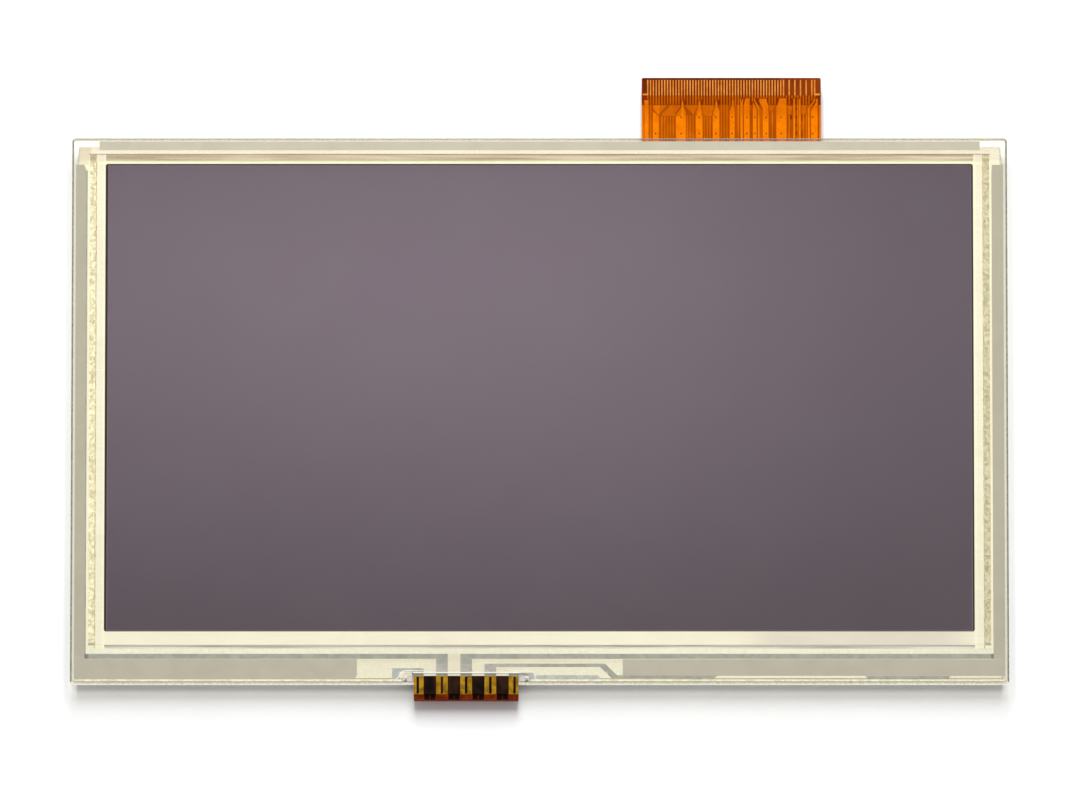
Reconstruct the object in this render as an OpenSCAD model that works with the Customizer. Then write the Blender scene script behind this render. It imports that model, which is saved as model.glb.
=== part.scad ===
// Colour TFT display module with a four-wire resistive touch panel.
// X runs along the width, Y up the picture, Z out of the viewing face.
// The origin is the middle of the touch glass outline, on the plane of the rear plate.

/* [Viewing window] */
// Width of the viewing window
view_w = 153; // [136:0.5:170]
// Height of the viewing window
view_h = 85.7; // [76:0.1:96]
// Corner radius of the viewing window
view_r = 1; // [0.5:0.1:2]

/* [Touch panel] */
// Overhang of the touch glass past the body at each side
overhang_x = 1.1; // [0.8:0.1:2]
// Overhang of the touch glass past the body at top and bottom
overhang_y = 1.15; // [0.85:0.05:1.6]
// Thickness of the touch glass
glass_t = 1.1; // [0.7:0.1:1.8]
// Corner radius of the touch glass
glass_r = 0.6; // [0.3:0.1:0.9]
// Thickness of the flexible top film
film_t = 0.2; // [0.1:0.05:0.3]
// Step from the glass edge in to the film edge
film_step = 0.3; // [0.1:0.1:0.6]
// Thickness of one printed silver layer
ink_t = 0.04; // [0.03:0.01:0.06]
// Thickness of the adhesive ring between the silver layers
ring_t = 0.12; // [0.09:0.01:0.16]
// Width of the adhesive ring at the sides
ring_side_w = 4; // [3.6:0.1:4.6]
// Width of the adhesive ring at the top
ring_top_w = 4.05; // [3.8:0.05:4.3]
// Width of the adhesive ring at the bottom
ring_bottom_w = 6.8; // [6.4:0.1:7.4]

/* [Printed silver] */
// Step from the glass edge in to the silver at the sides and top
silver_step = 0.7; // [0.5:0.05:0.9]
// Width of the silver band on the left
left_band_w = 1.8; // [1.4:0.1:2.0]
// Width of the silver band on the right
right_band_w = 2; // [1.4:0.1:2.2]
// Width of the silver band along the top
top_band_w = 1.6; // [1.2:0.1:1.8]
// Distance from the glass side to each end of the top band
top_band_end = 4.8; // [3.5:0.1:8]
// Distance from the glass top edge to the start of the side bands
side_band_drop = 5; // [4:0.5:12]
// Height of the silver band at the bottom left
bottom_left_h = 3.6; // [3:0.1:3.8]
// Step from the glass bottom edge up to the bottom left band
bottom_left_step = 0.85; // [0.6:0.05:1.1]
// Height of the silver band at the bottom right
bottom_right_h = 3; // [2.4:0.1:3.2]
// Step from the glass bottom edge up to the bottom right band
bottom_right_step = 1.4; // [1.2:0.05:1.6]
// Width of the bus bars at the left and right
bus_w = 1.05; // [0.6:0.05:1.2]
// Width of the bus bar at the top
top_bus_w = 1.25; // [0.8:0.05:1.4]
// Width of the bus bar at the bottom
bottom_bus_w = 0.6; // [0.4:0.1:1]
// Distance from the middle to the end of the bottom left band
bottom_left_end = 32.1; // [28:0.1:45]
// Distance from the middle to the start of the bottom right band
bottom_right_start = 14.6; // [12:0.1:25]
// Width of the long printed traces
trace_w = 0.9; // [0.6:0.1:1.2]
// Width of the narrow printed traces
thin_trace_w = 0.6; // [0.4:0.1:0.8]

/* [Touch tail] */
// Centre of the touch tail along the width
tail_x = -12.9; // [-30:0.1:-8]
// Width of the touch tail
tail_w = 18.4; // [18:0.1:20]
// Pitch of the tail's bonding pads
pad_pitch = 4.25; // [4:0.05:4.4]
// Width of one bonding pad
pad_w = 2.05; // [1.6:0.05:2.2]
// Number of bonding pads
pad_count = 5; // [3:2:5]
// Width of the slit down the middle of a pad
slit_w = 0.44; // [0.2:0.02:0.6]
// Length of the tail bonded on the glass
tail_bond = 1.4; // [1.1:0.1:1.8]
// Thickness of the tail's base film
tail_t = 0.08; // [0.06:0.01:0.1]
// Straight length of the tail past the glass edge
tail_reach = 0.17; // [0.1:0.01:0.6]
// Side room of the notch round the tail in the film and the adhesive
notch_room = 1.9; // [1.2:0.1:2.4]
// Depth of that notch from the glass edge
notch_h = 1.8; // [1.6:0.05:2.1]
// Angle round the fold at which the pads end
pad_turn = 43; // [20:1:70]
// Width of the tail's contact end
neck_w = 6; // [5:0.5:10]
// Length of the tail along the rear face
neck_len = 22; // [18:1:32]
// Pitch of the contacts at the tail's end
contact_pitch = 1; // [0.8:0.1:1.2]
// Thickness of the stiffener under the tail's end
tail_stiff_t = 0.1; // [0.06:0.02:0.14]

/* [Module body] */
// Sheet thickness of the steel bezel
bezel_t = 0.2; // [0.15:0.05:0.3]
// Outer bend radius of the bezel
bend_r = 0.5; // [0.35:0.05:0.7]
// Thickness of the tape ring between bezel and touch glass
gasket_t = 0.2; // [0.1:0.05:0.5]
// Width of the tape ring at the sides
gasket_side_w = 1.65; // [1:0.05:2.2]
// Width of the tape ring at the top
gasket_top_w = 1.25; // [0.8:0.05:2]
// Width of the tape ring at the bottom
gasket_bottom_w = 2.6; // [1:0.1:4]
// Sheet thickness of the rear plate
plate_t = 0.3; // [0.2:0.05:0.4]
// Depth of the beads and the tail recess stamped in the rear plate
bead_d = 0.4; // [0.35:0.05:0.6]
// Height of the frame's rear flange under the bezel's wall
flange_t = 0.3; // [0.2:0.05:0.4]
// Thickness of the frame's side walls
side_wall_t = 1.95; // [1.5:0.05:3]
// Thickness of the frame's top wall
top_wall_t = 0.38; // [0.3:0.02:1]
// Thickness of the frame's bottom wall
bottom_wall_t = 1.6; // [1.2:0.1:3]

/* [Liquid crystal cell] */
// Thickness of each cell glass
cell_glass_t = 0.4; // [0.3:0.05:0.7]
// Thickness of each polarizer
pol_t = 0.12; // [0.1:0.01:0.2]
// Thickness of the seal between the cell glasses
seal_t = 0.05; // [0.03:0.01:0.08]
// Width of the seal
seal_w = 0.8; // [0.5:0.1:1]
// Cell glass hidden past the window at the sides
cell_side = 1.7; // [1.5:0.1:1.9]
// Cell glass hidden past the window at the bottom
cell_bottom = 2.5; // [2:0.1:2.8]
// Filter glass hidden past the window at the top
cell_top = 0.75; // [0.6:0.05:0.85]
// Depth of the contact ledge that carries the chips and the flex
ledge_h = 1.55; // [1.45:0.05:1.6]
// Step from the cell glass edge in to the polarizer edge
pol_step = 0.5; // [0.3:0.1:0.6]
// Length of one driver chip
chip_l = 22; // [14:1:24]
// Width of one driver chip
chip_w = 0.9; // [0.7:0.05:1]
// Height of one driver chip
chip_t = 0.3; // [0.2:0.05:0.4]

/* [Backlight] */
// Thickness of the light guide
guide_t = 0.85; // [0.8:0.05:1.2]
// Distance from the window's bottom edge to the light guide's lit edge
mix_len = 4.9; // [4.2:0.1:7]
// Thickness of the reflector sheet
reflector_t = 0.12; // [0.08:0.02:0.2]
// Thickness of the diffuser sheet
diffuser_t = 0.1; // [0.08:0.01:0.14]
// Thickness of each prism sheet
prism_t = 0.12; // [0.08:0.01:0.16]
// Number of side-view LEDs
led_count = 24; // [12:1:30]
// Length of one LED
led_l = 3.8; // [2.4:0.1:4]
// Height of one LED
led_h = 0.8; // [0.6:0.05:0.8]
// Depth of one LED
led_d = 1; // [0.8:0.05:1.1]
// Thickness of the LED flex
led_flex_t = 0.1; // [0.08:0.01:0.12]
// Width of the LED flex's arm
led_arm_w = 1.2; // [0.8:0.1:1.3]

/* [Main flex] */
// Centre of the main flex along the width
flex_x = 33.86; // [20:0.02:50]
// Width of the main flex
flex_w = 31.66; // [31:0.02:34]
// Length of the main flex past the glass edge
flex_reach = 11.66; // [9:0.02:20]
// Thickness of the main flex's base film
flex_t = 0.08; // [0.05:0.01:0.1]
// Thickness of the main flex's copper
copper_t = 0.03; // [0.02:0.005:0.04]
// Thickness of the main flex's coverlay
coverlay_t = 0.03; // [0.02:0.005:0.04]
// Pitch of the contacts
finger_pitch = 0.5; // [0.4:0.1:0.5]
// Width of one contact
finger_w = 0.24; // [0.15:0.01:0.35]
// Length of one contact
finger_l = 2.86; // [2:0.02:4]
// Number of contacts
finger_count = 60; // [40:1:60]
// Step from the flex's end to the contacts
finger_step = 0.38; // [0.2:0.02:0.6]
// Length of the stiffener
stiff_l = 5; // [4:0.5:7]
// Thickness of the stiffener
stiff_t = 0.25; // [0.1:0.05:0.3]
// Corner radius of the main flex
flex_r = 0.3; // [0.1:0.05:0.6]

/* [Clearances] */
// Gap between the frame and the bezel's wall
frame_fit = 0.05; // [0.03:0.01:0.15]
// Gap round the cell in its pocket
pocket_fit = 0.1; // [0.05:0.01:0.12]
// Gap round the optical sheets
sheet_fit = 0.2; // [0.1:0.05:0.3]
// Gap between the sheets and the cell
cell_gap = 0.07; // [0.04:0.01:0.15]
// Gap between the polarizer and the bezel
bezel_gap = 0.03; // [0.02:0.01:0.08]
// Gap round the rear plate
plate_fit = 0.1; // [0.05:0.01:0.2]
// Gap round the flexes where they leave the body
flex_fit = 0.3; // [0.15:0.05:0.5]

/* [Hidden] */
$fn = 48;

// Heights of the stack, from the rear plate up
z_reflector = plate_t + bead_d;
z_guide = z_reflector + reflector_t;
z_sheets = z_guide + guide_t;
z_lower_prism = z_sheets + diffuser_t;
z_upper_prism = z_lower_prism + prism_t;
z_rear_pol = z_upper_prism + prism_t + cell_gap;
z_tft = z_rear_pol + pol_t;
z_flex = z_tft + cell_glass_t;
z_filter = z_flex + seal_t;
z_front_pol = z_filter + cell_glass_t;
z_bezel = z_front_pol + pol_t + bezel_gap;
body_t = z_bezel + bezel_t;
z_glass = body_t + gasket_t;
z_glass_ink = z_glass + glass_t;
z_ring = z_glass_ink + ink_t;
z_film_ink = z_ring + ring_t;
z_film = z_film_ink + ink_t;

// Borders from the window to the body's outside, added up from what lies in them
cell_lap = 1.1;
guide_lap = 0.4;
arm_gap = 0.3;
slot_fit = 0.2;
led_gap = 0.1;
led_room = 0.9;
riser_gap = 0.02;
wall_in = bezel_t + frame_fit;
border_side = cell_side - cell_lap + guide_lap + arm_gap + led_arm_w + slot_fit
    + side_wall_t + wall_in;
border_top = cell_top + ledge_h + 2 * pocket_fit + riser_gap + led_flex_t + top_wall_t + wall_in;
border_bottom = mix_len + led_gap + led_d + led_room + bottom_wall_t + wall_in;

// Half sizes of the nested outlines
view_x = view_w / 2;
body_x = view_x + border_side;
body_y = (view_h + border_top + border_bottom) / 2;
glass_x = body_x + overhang_x;
glass_y = body_y + overhang_y;
film_x = glass_x - film_step;
film_y = glass_y - film_step;
frame_x = body_x - wall_in;
frame_y = body_y - wall_in;

// Edges of the viewing window, the cell and the frame's opening under it
view_y1 = body_y - border_top;
view_y0 = border_bottom - body_y;
tape_step = 0.05;
cell_x = view_x + cell_side;
cell_y0 = view_y0 - cell_bottom;
filter_y1 = view_y1 + cell_top;
cell_y1 = filter_y1 + ledge_h;
chip_sites = [-52, -14];
open_x = cell_x - cell_lap;
open_y0 = cell_y0 + cell_lap;
open_y1 = cell_y1 - cell_lap;

// Edges of the light guide and the cavity for the LEDs
guide_x = open_x + guide_lap;
guide_y0 = view_y0 - mix_len;
guide_y1 = open_y1 + guide_lap;
cavity_y0 = -frame_y + bottom_wall_t;
ear_l = 4;
ear_d = 0.7;

// Ledge that carries the cell, and the tape on it
roof_gap = 0.03;
ledge_t = 0.3;
z_roof = z_sheets + led_flex_t + roof_gap;
z_tape = z_roof + ledge_t;

// Tabs of the optical films, set so that a film fits only one way
tab_l = 6;
tab_d = 0.7;
tab_sites = [[-1, 12], [1, -18]];

// LED flex: arm beside the light guide, run along the top, riser to the main flex
arm_x0 = guide_x + arm_gap;
arm_x1 = arm_x0 + led_arm_w;
run_y0 = guide_y1 + 0.15;
riser_y1 = cell_y1 + pocket_fit + riser_gap + led_flex_t;
riser_x0 = flex_x + flex_w / 2 - 5.5;
riser_w = 4;

// Rear plate in its seat
seat_w = 0.8;
plate_r = 0.8;
plate_x = frame_x - seat_w - plate_fit;
plate_y = frame_y - seat_w - plate_fit;
peg_r = 0.6;
peg_fit = 0.1;
peg_x = (guide_x + plate_x) / 2;
peg_end = 11.7;
peg_rows = [-plate_y + peg_end, 0, plate_y - peg_end];
bead_l = 50;
bead_w = 5;
bead_sites = [[-42, -10], [42, -10], [-42, 20], [42, 20]];

// Snap windows of the bezel, with the frame's bosses in them
snap_w = 2;
snap_lip = 0.65;
z_snap = 1.4;
snap_end = [17.8, 12.4];
bottom_snaps = [-body_x + snap_end[0], 27.7, body_x - snap_end[1]];
top_snaps = [-body_x + snap_end[0], -27.7, 6, body_x - snap_end[1]];
side_snaps = [-24, 24];
snap_fit = 0.1;
snap_lead = 0.25;
wall_gap = 0.05;

// Touch tail: its top stretch, fold and rear stretch
tail_pad_t = ring_t - tail_t;
tail_z0 = bead_d - tail_stiff_t;
fold_r = (z_ring - tail_z0) / 2;
fold_z = tail_z0 + fold_r;
fold_y = -glass_y - tail_reach;
bond_y = -glass_y + tail_bond;
neck_y1 = fold_y + neck_len;
shoulder_y0 = -body_y + 4;
shoulder_y1 = shoulder_y0 + 4;
recess_w = tail_w + 1.8;
recess_y1 = neck_y1 + 1;
contact_count = 4;
contact_l = 4;
contact_w = 0.6;
contact_step = 0.3;
stiff_lap = 2;

// Printed silver, from the glass edge or the ring's edge inwards
bus_gap = 0.1;
band_y1 = glass_y - side_band_drop;
trace_y1 = -film_y + ring_bottom_w - 1.65;
upright_x = film_x - 1.85;
upright_y1 = band_y1 - 1;
mid_trace_y1 = -glass_y + 3.65;
low_trace_y1 = -glass_y + 1.55;
foot_y0 = -glass_y + 0.25;
jog_x = 11.5;
low_trace_end = 31.3;
far_trace = [glass_x - 25.3, glass_x - 10.3];
stub_w = 1.97;
stub_sites = [low_trace_end - 4.6, far_trace[0] + 10.8];

// Main flex, from its bond on the cell's ledge to its contact end
flex_bond = 0.9;
flex_y0 = cell_y1 - flex_bond;
flex_y1 = glass_y + flex_reach;
cover_y1 = flex_y1 - finger_step - finger_l;
root_y = flex_y1 - stiff_l;
z_copper = z_flex + flex_t;
z_coverlay = z_copper + copper_t;
flex_total = flex_t + copper_t + coverlay_t;
land_step = 0.1;
mark_h = 0.36;
mark_step = 0.18;
via_r = 0.13;
via_rows = [1.4, 4.4];
// Vias in both rows, and the one that stands alone in the lower row, from the flex's centre
via_x = [-8.88, -5.66, -2.72, 0.15, 2.74, 4.16, 6.16, 8.81, 14.38];
lone_via_x = -13.37;
// Upper outlines of the lands, from left to right. Each land runs down from its first and
// last points to the bond. Counted from the flex's centre and the stiffener's root.
lands = [
    [[-15.78, 0], [-15.5, 0]],
    [[-15.34, 0.9], [-14.6, 0.9]],
    [[-13.85, -1.06], [-12.8, -2.1]],
    [[-9.79, -1.81], [-8.79, -0.48], [-8.75, 0.74], [-8.5, 0.74], [-8.39, -0.48],
        [-8.02, -1.23]],
    [[-6.29, -1.45], [-5.84, -0.45], [-5.76, 0.8], [-5.48, 0.8], [-5.42, -0.4],
        [-5.07, -1.1]],
    [[-3.28, -1.5], [-2.85, -0.4], [-2.75, 0.8], [-2.5, 0.8], [-2.42, -0.3], [-2.09, -0.95]],
    [[-0.28, -1.15], [0.12, -0.3], [0.17, 0.98], [0.41, 0.98], [0.45, -0.18], [0.59, -0.67]],
    [[1.63, 0.35], [1.52, 1.1], [1.72, 1.1], [1.8, 0.6], [1.9, 0.6], [1.98, 1.1],
        [2.18, 1.1], [2.02, 0.35]],
    [[2.25, 0.07], [2.42, 0.9], [2.5, 1.22], [3.26, 1.22]],
    [[3.82, 0.3], [3.88, 0.45], [4.48, -0.66]],
    [[4.71, -0.7], [4.1, 0.62], [4.03, 1.22], [4.2, 1.22], [4.27, 0.7], [5, -0.55]],
    [[5.55, -0.55], [4.95, 0.6], [4.95, 1.16], [5.75, 1.16], [6.22, 1.16], [6.3, 0.6], [6.59, -0.2]],
    [[7.96, -0.35], [8.2, 0.1], [8.4, 0.75], [8.42, 1.22], [9.76, 1.22]],
    [[10.96, 1.16], [11.27, 1.16]],
    [[11.97, 1.16], [12.26, 1.16]],
    [[13.54, -0.55], [14.45, 0.6], [14.6, 0.9], [14.6, 1.2], [14.84, 1.2], [14.84, 0.8],
        [14.6, 0.4], [13.86, -0.5]],
    [[14.1, -1.15], [14.98, 0.55], [15.05, 1.16], [15.27, 1.16]],
    [[15.57, 0], [15.79, 0]]
];
// Fans of copper between the lands, just below the stiffener's root
fans = [
    [[-13.79, -0.07], [-11.48, -0.07], [-11.53, -0.3], [-12.61, -1.43], [-12.82, -1.89],
        [-13.79, -0.71]],
    [[-10.76, -0.07], [-8.99, -0.07], [-9.1, -0.42], [-9.9, -1.52], [-9.9, -1.98],
        [-12.14, -1.98], [-12.14, -1.52]],
    [[-8.27, -0.07], [-5.9, -0.07], [-6.07, -0.6], [-6.45, -1.3], [-6.55, -1.81],
        [-6.75, -1.75]],
    [[-5.2, -0.07], [-2.95, -0.07], [-3.1, -0.6], [-3.42, -1.3], [-3.42, -1.98],
        [-4.93, -1.98], [-4.93, -1.1], [-5.15, -0.5]],
    [[6.75, -0.05], [7.8, -0.05], [7.25, -1.1], [6.75, -1.1]],
    [[9.95, -0.05], [10.7, -0.3], [10.8, -0.6], [10.5, -1.7], [9.95, -1.7]],
    [[12.45, -0.05], [13.35, -0.05], [13.2, -0.6], [13.2, -1.7], [12.45, -1.7]]
];

// A box given by its two ends along each axis
module box(x0, x1, y0, y1, z0, z1) {
    translate([x0, y0, z0]) cube([x1 - x0, y1 - y0, z1 - z0]);
}

// A rectangle with round corners
module round_rect(x0, x1, y0, y1, r) {
    translate([x0 + r, y0]) square([x1 - x0 - 2 * r, y1 - y0]);
    translate([x0, y0 + r]) square([x1 - x0, y1 - y0 - 2 * r]);
    for (x = [x0 + r, x1 - r], y = [y0 + r, y1 - r]) translate([x, y]) circle(r);
}

// A rounded sheet
module sheet(x0, x1, y0, y1, r, z, t) {
    translate([0, 0, z]) linear_extrude(t) round_rect(x0, x1, y0, y1, r);
}

// A flat frame between two rectangles
module frame_sheet(outer, inner, z, t) {
    difference() {
        box(outer[0], outer[1], outer[2], outer[3], z, z + t);
        box(inner[0], inner[1], inner[2], inner[3], z - 1, z + t + 1);
    }
}

// A bar with half-round ends, seen from above
module slot_bar(l, w, z0, z1) {
    translate([0, 0, z0]) linear_extrude(z1 - z0) {
        square([l - w, w], center = true);
        for (x = [-1, 1]) translate([x * (l - w) / 2, 0]) circle(d = w);
    }
}

// A pan's cross-section: flat on top, round at both shoulders
module pan_section(x, z0, z1, r) {
    translate([-x, z0]) square([2 * x, z1 - r - z0]);
    translate([-x + r, z0]) square([2 * (x - r), z1 - z0]);
    for (i = [-1, 1]) translate([i * (x - r), z1 - r]) circle(r);
}

// A box whose upper edges and upright corners are rounded
module pan(x, y, z0, z1, r) {
    intersection() {
        translate([0, 0, z0]) linear_extrude(z1 - z0) round_rect(-x, x, -y, y, r);
        translate([0, y + 1, 0]) rotate([90, 0, 0]) linear_extrude(2 * y + 2)
            pan_section(x, z0 - 1, z1, r);
        translate([-x - 1, 0, 0]) rotate([90, 0, 90]) linear_extrude(2 * x + 2)
            pan_section(y, z0 - 1, z1, r);
    }
}

// Places its child at every snap, with the outside towards -Y
module at_snaps() {
    for (x = bottom_snaps) translate([x, -body_y, 0]) children();
    for (x = top_snaps) translate([x, body_y, 0]) rotate(180) children();
    for (y = side_snaps) {
        translate([-body_x, y, 0]) rotate(-90) children();
        translate([body_x, y, 0]) rotate(90) children();
    }
}

// Turns a Y-Z section into a solid of width w about the tail's centre
module tail_section(w) {
    translate([tail_x - w / 2, 0, 0]) rotate([90, 0, 90]) linear_extrude(w) children();
}

// Section of everything inside radius r of the fold, with both legs as far as y1
module fold_slot(r, y1) {
    translate([fold_y, fold_z]) {
        circle(r, $fn = 96);
        translate([0, -r]) square([y1 - fold_y, 2 * r]);
    }
}

// Half plane of the fold's section on the side of angle a that faces the glass,
// 90 at the top of the fold and -90 at its rear
module above_turn(a) {
    reach = 3 * fold_r;
    translate([fold_y, fold_z]) polygon([
        [0, 0], [-reach * cos(a), reach * sin(a)], [0, 2 * reach], [neck_len + reach, 2 * reach],
        [neck_len + reach, 0]
    ]);
}

// The rest of the fold's section, on the side of angle a that faces the rear
module below_turn(a) {
    reach = 3 * fold_r;
    translate([fold_y, fold_z]) polygon([
        [0, 0], [-reach * cos(a), reach * sin(a)], [-2 * reach, 0], [-2 * reach, -2 * reach],
        [neck_len + reach, -2 * reach], [neck_len + reach, 0]
    ]);
}

// Outline of the tail: wide round the fold, then stepped in to its contact end at y1
module tail_outline(y1) {
    nw = neck_w / 2;
    tw = tail_w / 2;
    y0 = fold_y - 2 * fold_r;
    translate([tail_x, 0]) polygon([
        [-tw, y0], [-tw, shoulder_y0], [-nw, shoulder_y1], [-nw, y1], [nw, y1],
        [nw, shoulder_y1], [tw, shoulder_y0], [tw, y0]
    ]);
}

// One layer of the tail, from radius r0 to r1 of the fold
module tail_layer(r0, r1, y1) {
    intersection() {
        tail_section(tail_w) difference() {
            fold_slot(r1, y1);
            fold_slot(r0, y1 + 1);
        }
        linear_extrude(z_film) tail_outline(y1);
    }
}

// Notch round the tail, open at the bottom edge
module tail_notch(z0, z1) {
    w = tail_w / 2 + notch_room;
    sheet(tail_x - w, tail_x + w, -glass_y - 3, -glass_y + notch_h, 0.9, z0, z1 - z0);
}

module touch_film() {
    color([0.97, 0.96, 0.88, 0.35]) difference() {
        sheet(-film_x, film_x, -film_y, film_y, glass_r, z_film, film_t);
        tail_notch(z_film - 1, z_film + 1);
    }
}

// The wide silver bands under the film: one along the top and an L at each side
module film_silver() {
    sx = glass_x - silver_step;
    nick = [0.35, 1];
    left_y0 = bottom_left_step - glass_y;
    right_y0 = bottom_right_step - glass_y;
    end_cut = 0.5;
    color([0.73, 0.71, 0.63]) {
        box(-glass_x + top_band_end, glass_x - top_band_end, glass_y - silver_step - top_band_w,
            glass_y - silver_step, z_film_ink, z_film);
        translate([0, 0, z_film_ink]) linear_extrude(ink_t) {
            polygon([
                [-sx, band_y1], [-sx + left_band_w - nick[0], band_y1],
                [-sx + left_band_w, band_y1 - nick[1]],
                [-sx + left_band_w, left_y0 + bottom_left_h],
                [-bottom_left_end, left_y0 + bottom_left_h],
                [-bottom_left_end, left_y0 + end_cut], [-bottom_left_end - end_cut, left_y0],
                [-sx, left_y0]
            ]);
            polygon([
                [sx, band_y1], [sx - right_band_w, band_y1],
                [sx - right_band_w, right_y0 + bottom_right_h],
                [bottom_right_start, right_y0 + bottom_right_h],
                [bottom_right_start, right_y0], [sx, right_y0]
            ]);
        }
    }
}

// The adhesive that holds the film off the glass
module spacer_ring() {
    color([0.96, 0.93, 0.79]) difference() {
        sheet(-film_x, film_x, -film_y, film_y, glass_r, z_ring, ring_t);
        sheet(-film_x + ring_side_w, film_x - ring_side_w, -film_y + ring_bottom_w,
            film_y - ring_top_w, glass_r, z_ring - 1, 2);
        tail_notch(z_ring - 1, z_ring + 1);
    }
}

// The bus bars beside the viewing area: two on the glass, two on the film
module bus_bars() {
    x0 = film_x - ring_side_w + bus_gap;
    y0 = -film_y + ring_bottom_w - bus_gap;
    y1 = film_y - ring_top_w + bus_gap;
    color([0.85, 0.8, 0.66]) {
        for (i = [-1, 1]) translate([i * (x0 + bus_w / 2), 0, 0])
            box(-bus_w / 2, bus_w / 2, y0, y1 + top_bus_w, z_glass_ink, z_ring);
        box(-view_x, view_x, y1, y1 + top_bus_w, z_film_ink, z_film);
        box(-view_x, view_x, y0 - bottom_bus_w, y0, z_film_ink, z_film);
    }
}

// The silver traces on the glass that lead to the tail
module glass_traces() {
    h = pad_w / 2;
    lead0 = tail_x - 2 * pad_pitch;
    lead1 = tail_x - pad_pitch;
    lead3 = tail_x + pad_pitch;
    lead4 = tail_x + 2 * pad_pitch;
    trace_y0 = trace_y1 - trace_w;
    drop = mid_trace_y1 - low_trace_y1;
    slant = 0.9;
    far_step = 0.15;
    low_y0 = low_trace_y1 - thin_trace_w;
    far_y1 = low_trace_y1 - far_step;
    far_y0 = far_y1 - thin_trace_w;
    hook_x = lead0 - h - 2.2;
    hook_w = 1.3;
    hook_y0 = low_trace_y1 + 0.6;
    hook_y1 = hook_y0 + 0.65;
    bar_x0 = lead4 + h + 1.6;
    bar_step = 0.8;
    bar_rise = 0.45;
    bar_drop = 0.1;
    color([0.69, 0.69, 0.63]) translate([0, 0, z_glass_ink]) linear_extrude(ink_t) {
        // long runs to the left and the right, each with an upright at its far end
        polygon([
            [-upright_x, upright_y1], [-upright_x, trace_y0], [lead1 - h, trace_y0],
            [lead1 - h, foot_y0], [lead1 + h, foot_y0], [lead1 + h, trace_y1],
            [-upright_x + thin_trace_w, trace_y1], [-upright_x + thin_trace_w, upright_y1]
        ]);
        polygon([
            [upright_x, upright_y1], [upright_x, trace_y0], [tail_x + h, trace_y0],
            [tail_x + h, foot_y0], [tail_x - h, foot_y0], [tail_x - h, trace_y1],
            [upright_x - thin_trace_w, trace_y1], [upright_x - thin_trace_w, upright_y1]
        ]);
        // narrow run with a jog under the right-hand band, and its far stretch,
        // each with a test stub to the glass edge
        polygon([
            [lead3 - h, foot_y0], [lead3 - h, mid_trace_y1], [jog_x, mid_trace_y1],
            [jog_x + drop, low_trace_y1], [low_trace_end, low_trace_y1],
            [low_trace_end - thin_trace_w, low_y0], [stub_sites[0] + stub_w, low_y0],
            [stub_sites[0] + stub_w, foot_y0], [stub_sites[0], foot_y0],
            [stub_sites[0], low_y0], [jog_x + drop - slant, low_y0],
            [jog_x - slant, mid_trace_y1 - thin_trace_w],
            [lead3 + h, mid_trace_y1 - thin_trace_w], [lead3 + h, foot_y0]
        ]);
        polygon([
            [far_trace[0], far_y1], [far_trace[1], far_y1],
            [far_trace[1] - thin_trace_w, far_y0], [stub_sites[1] + stub_w, far_y0],
            [stub_sites[1] + stub_w, foot_y0], [stub_sites[1], foot_y0],
            [stub_sites[1], far_y0], [far_trace[0] + thin_trace_w, far_y0]
        ]);
        // left lead, hooked down to the glass edge
        polygon([
            [lead0 - h, foot_y0], [lead0 - h, hook_y0], [hook_x, hook_y0], [hook_x, foot_y0],
            [hook_x - hook_w, foot_y0], [hook_x - hook_w, hook_y1], [lead0 + h, hook_y1],
            [lead0 + h, foot_y0]
        ]);
        // right lead, stepped into a bar along the glass edge
        polygon([
            [lead4 - h, foot_y0], [lead4 - h, low_trace_y1 + bar_rise],
            [bar_x0 + bar_step, low_trace_y1 + bar_rise], [bar_x0 + bar_step, low_trace_y1],
            [jog_x - slant - bar_step / 2, low_trace_y1], [jog_x, foot_y0],
            [bar_x0, foot_y0], [bar_x0, low_trace_y1 - bar_drop],
            [lead4 + h, low_trace_y1 - bar_drop], [lead4 + h, foot_y0]
        ]);
    }
}

module touch_glass() {
    color([0.9, 0.95, 0.92, 0.3])
        sheet(-glass_x, glass_x, -glass_y, glass_y, glass_r, z_glass, glass_t);
}

// The tail's base film: bonded stretch, fold and rear stretch with its narrow end
module touch_tail() {
    color([0.3, 0.16, 0.09]) difference() {
        tail_layer(fold_r, fold_r + tail_t, neck_y1);
        box(tail_x - tail_w, tail_x + tail_w, bond_y, neck_y1 + 1, fold_z, z_film + 1);
    }
}

// The gilt pads on the tail, each slit down its middle
module tail_pads() {
    first = -(pad_count - 1) / 2;
    slit_end = 0.15;
    r = fold_r + tail_t;
    color([0.79, 0.62, 0.13]) intersection() {
        difference() {
            tail_layer(r, r + tail_pad_t, neck_y1);
            tail_section(tail_w + 2) below_turn(90 - pad_turn);
            box(tail_x - tail_w, tail_x + tail_w, bond_y, neck_y1 + 1, fold_z, z_film + 1);
        }
        for (i = [0:pad_count - 1]) translate([tail_x + (first + i) * pad_pitch, 0, 0])
            difference() {
                box(-pad_w / 2, pad_w / 2, fold_y - 2 * fold_r, bond_y + 1, fold_z, z_film);
                box(-slit_w / 2, slit_w / 2, fold_y - fold_r * sin(pad_turn), bond_y - slit_end,
                    0, z_film + 1);
            }
    }
}

// The coverlay, from the pads round the fold to the contacts
module tail_coverlay() {
    r = fold_r + tail_t;
    color([0.62, 0.25, 0.03]) difference() {
        tail_layer(r, r + tail_pad_t, neck_y1 - contact_l);
        tail_section(tail_w + 2) above_turn(90 - pad_turn);
    }
}

module tail_contacts() {
    z = fold_z - fold_r - tail_t - tail_pad_t;
    color([0.85, 0.7, 0.3]) for (i = [0:contact_count - 1])
        translate([tail_x + (i - (contact_count - 1) / 2) * contact_pitch, 0, 0])
            box(-contact_w / 2, contact_w / 2, neck_y1 - contact_l, neck_y1 - contact_step,
                z, z + tail_pad_t);
}

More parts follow.
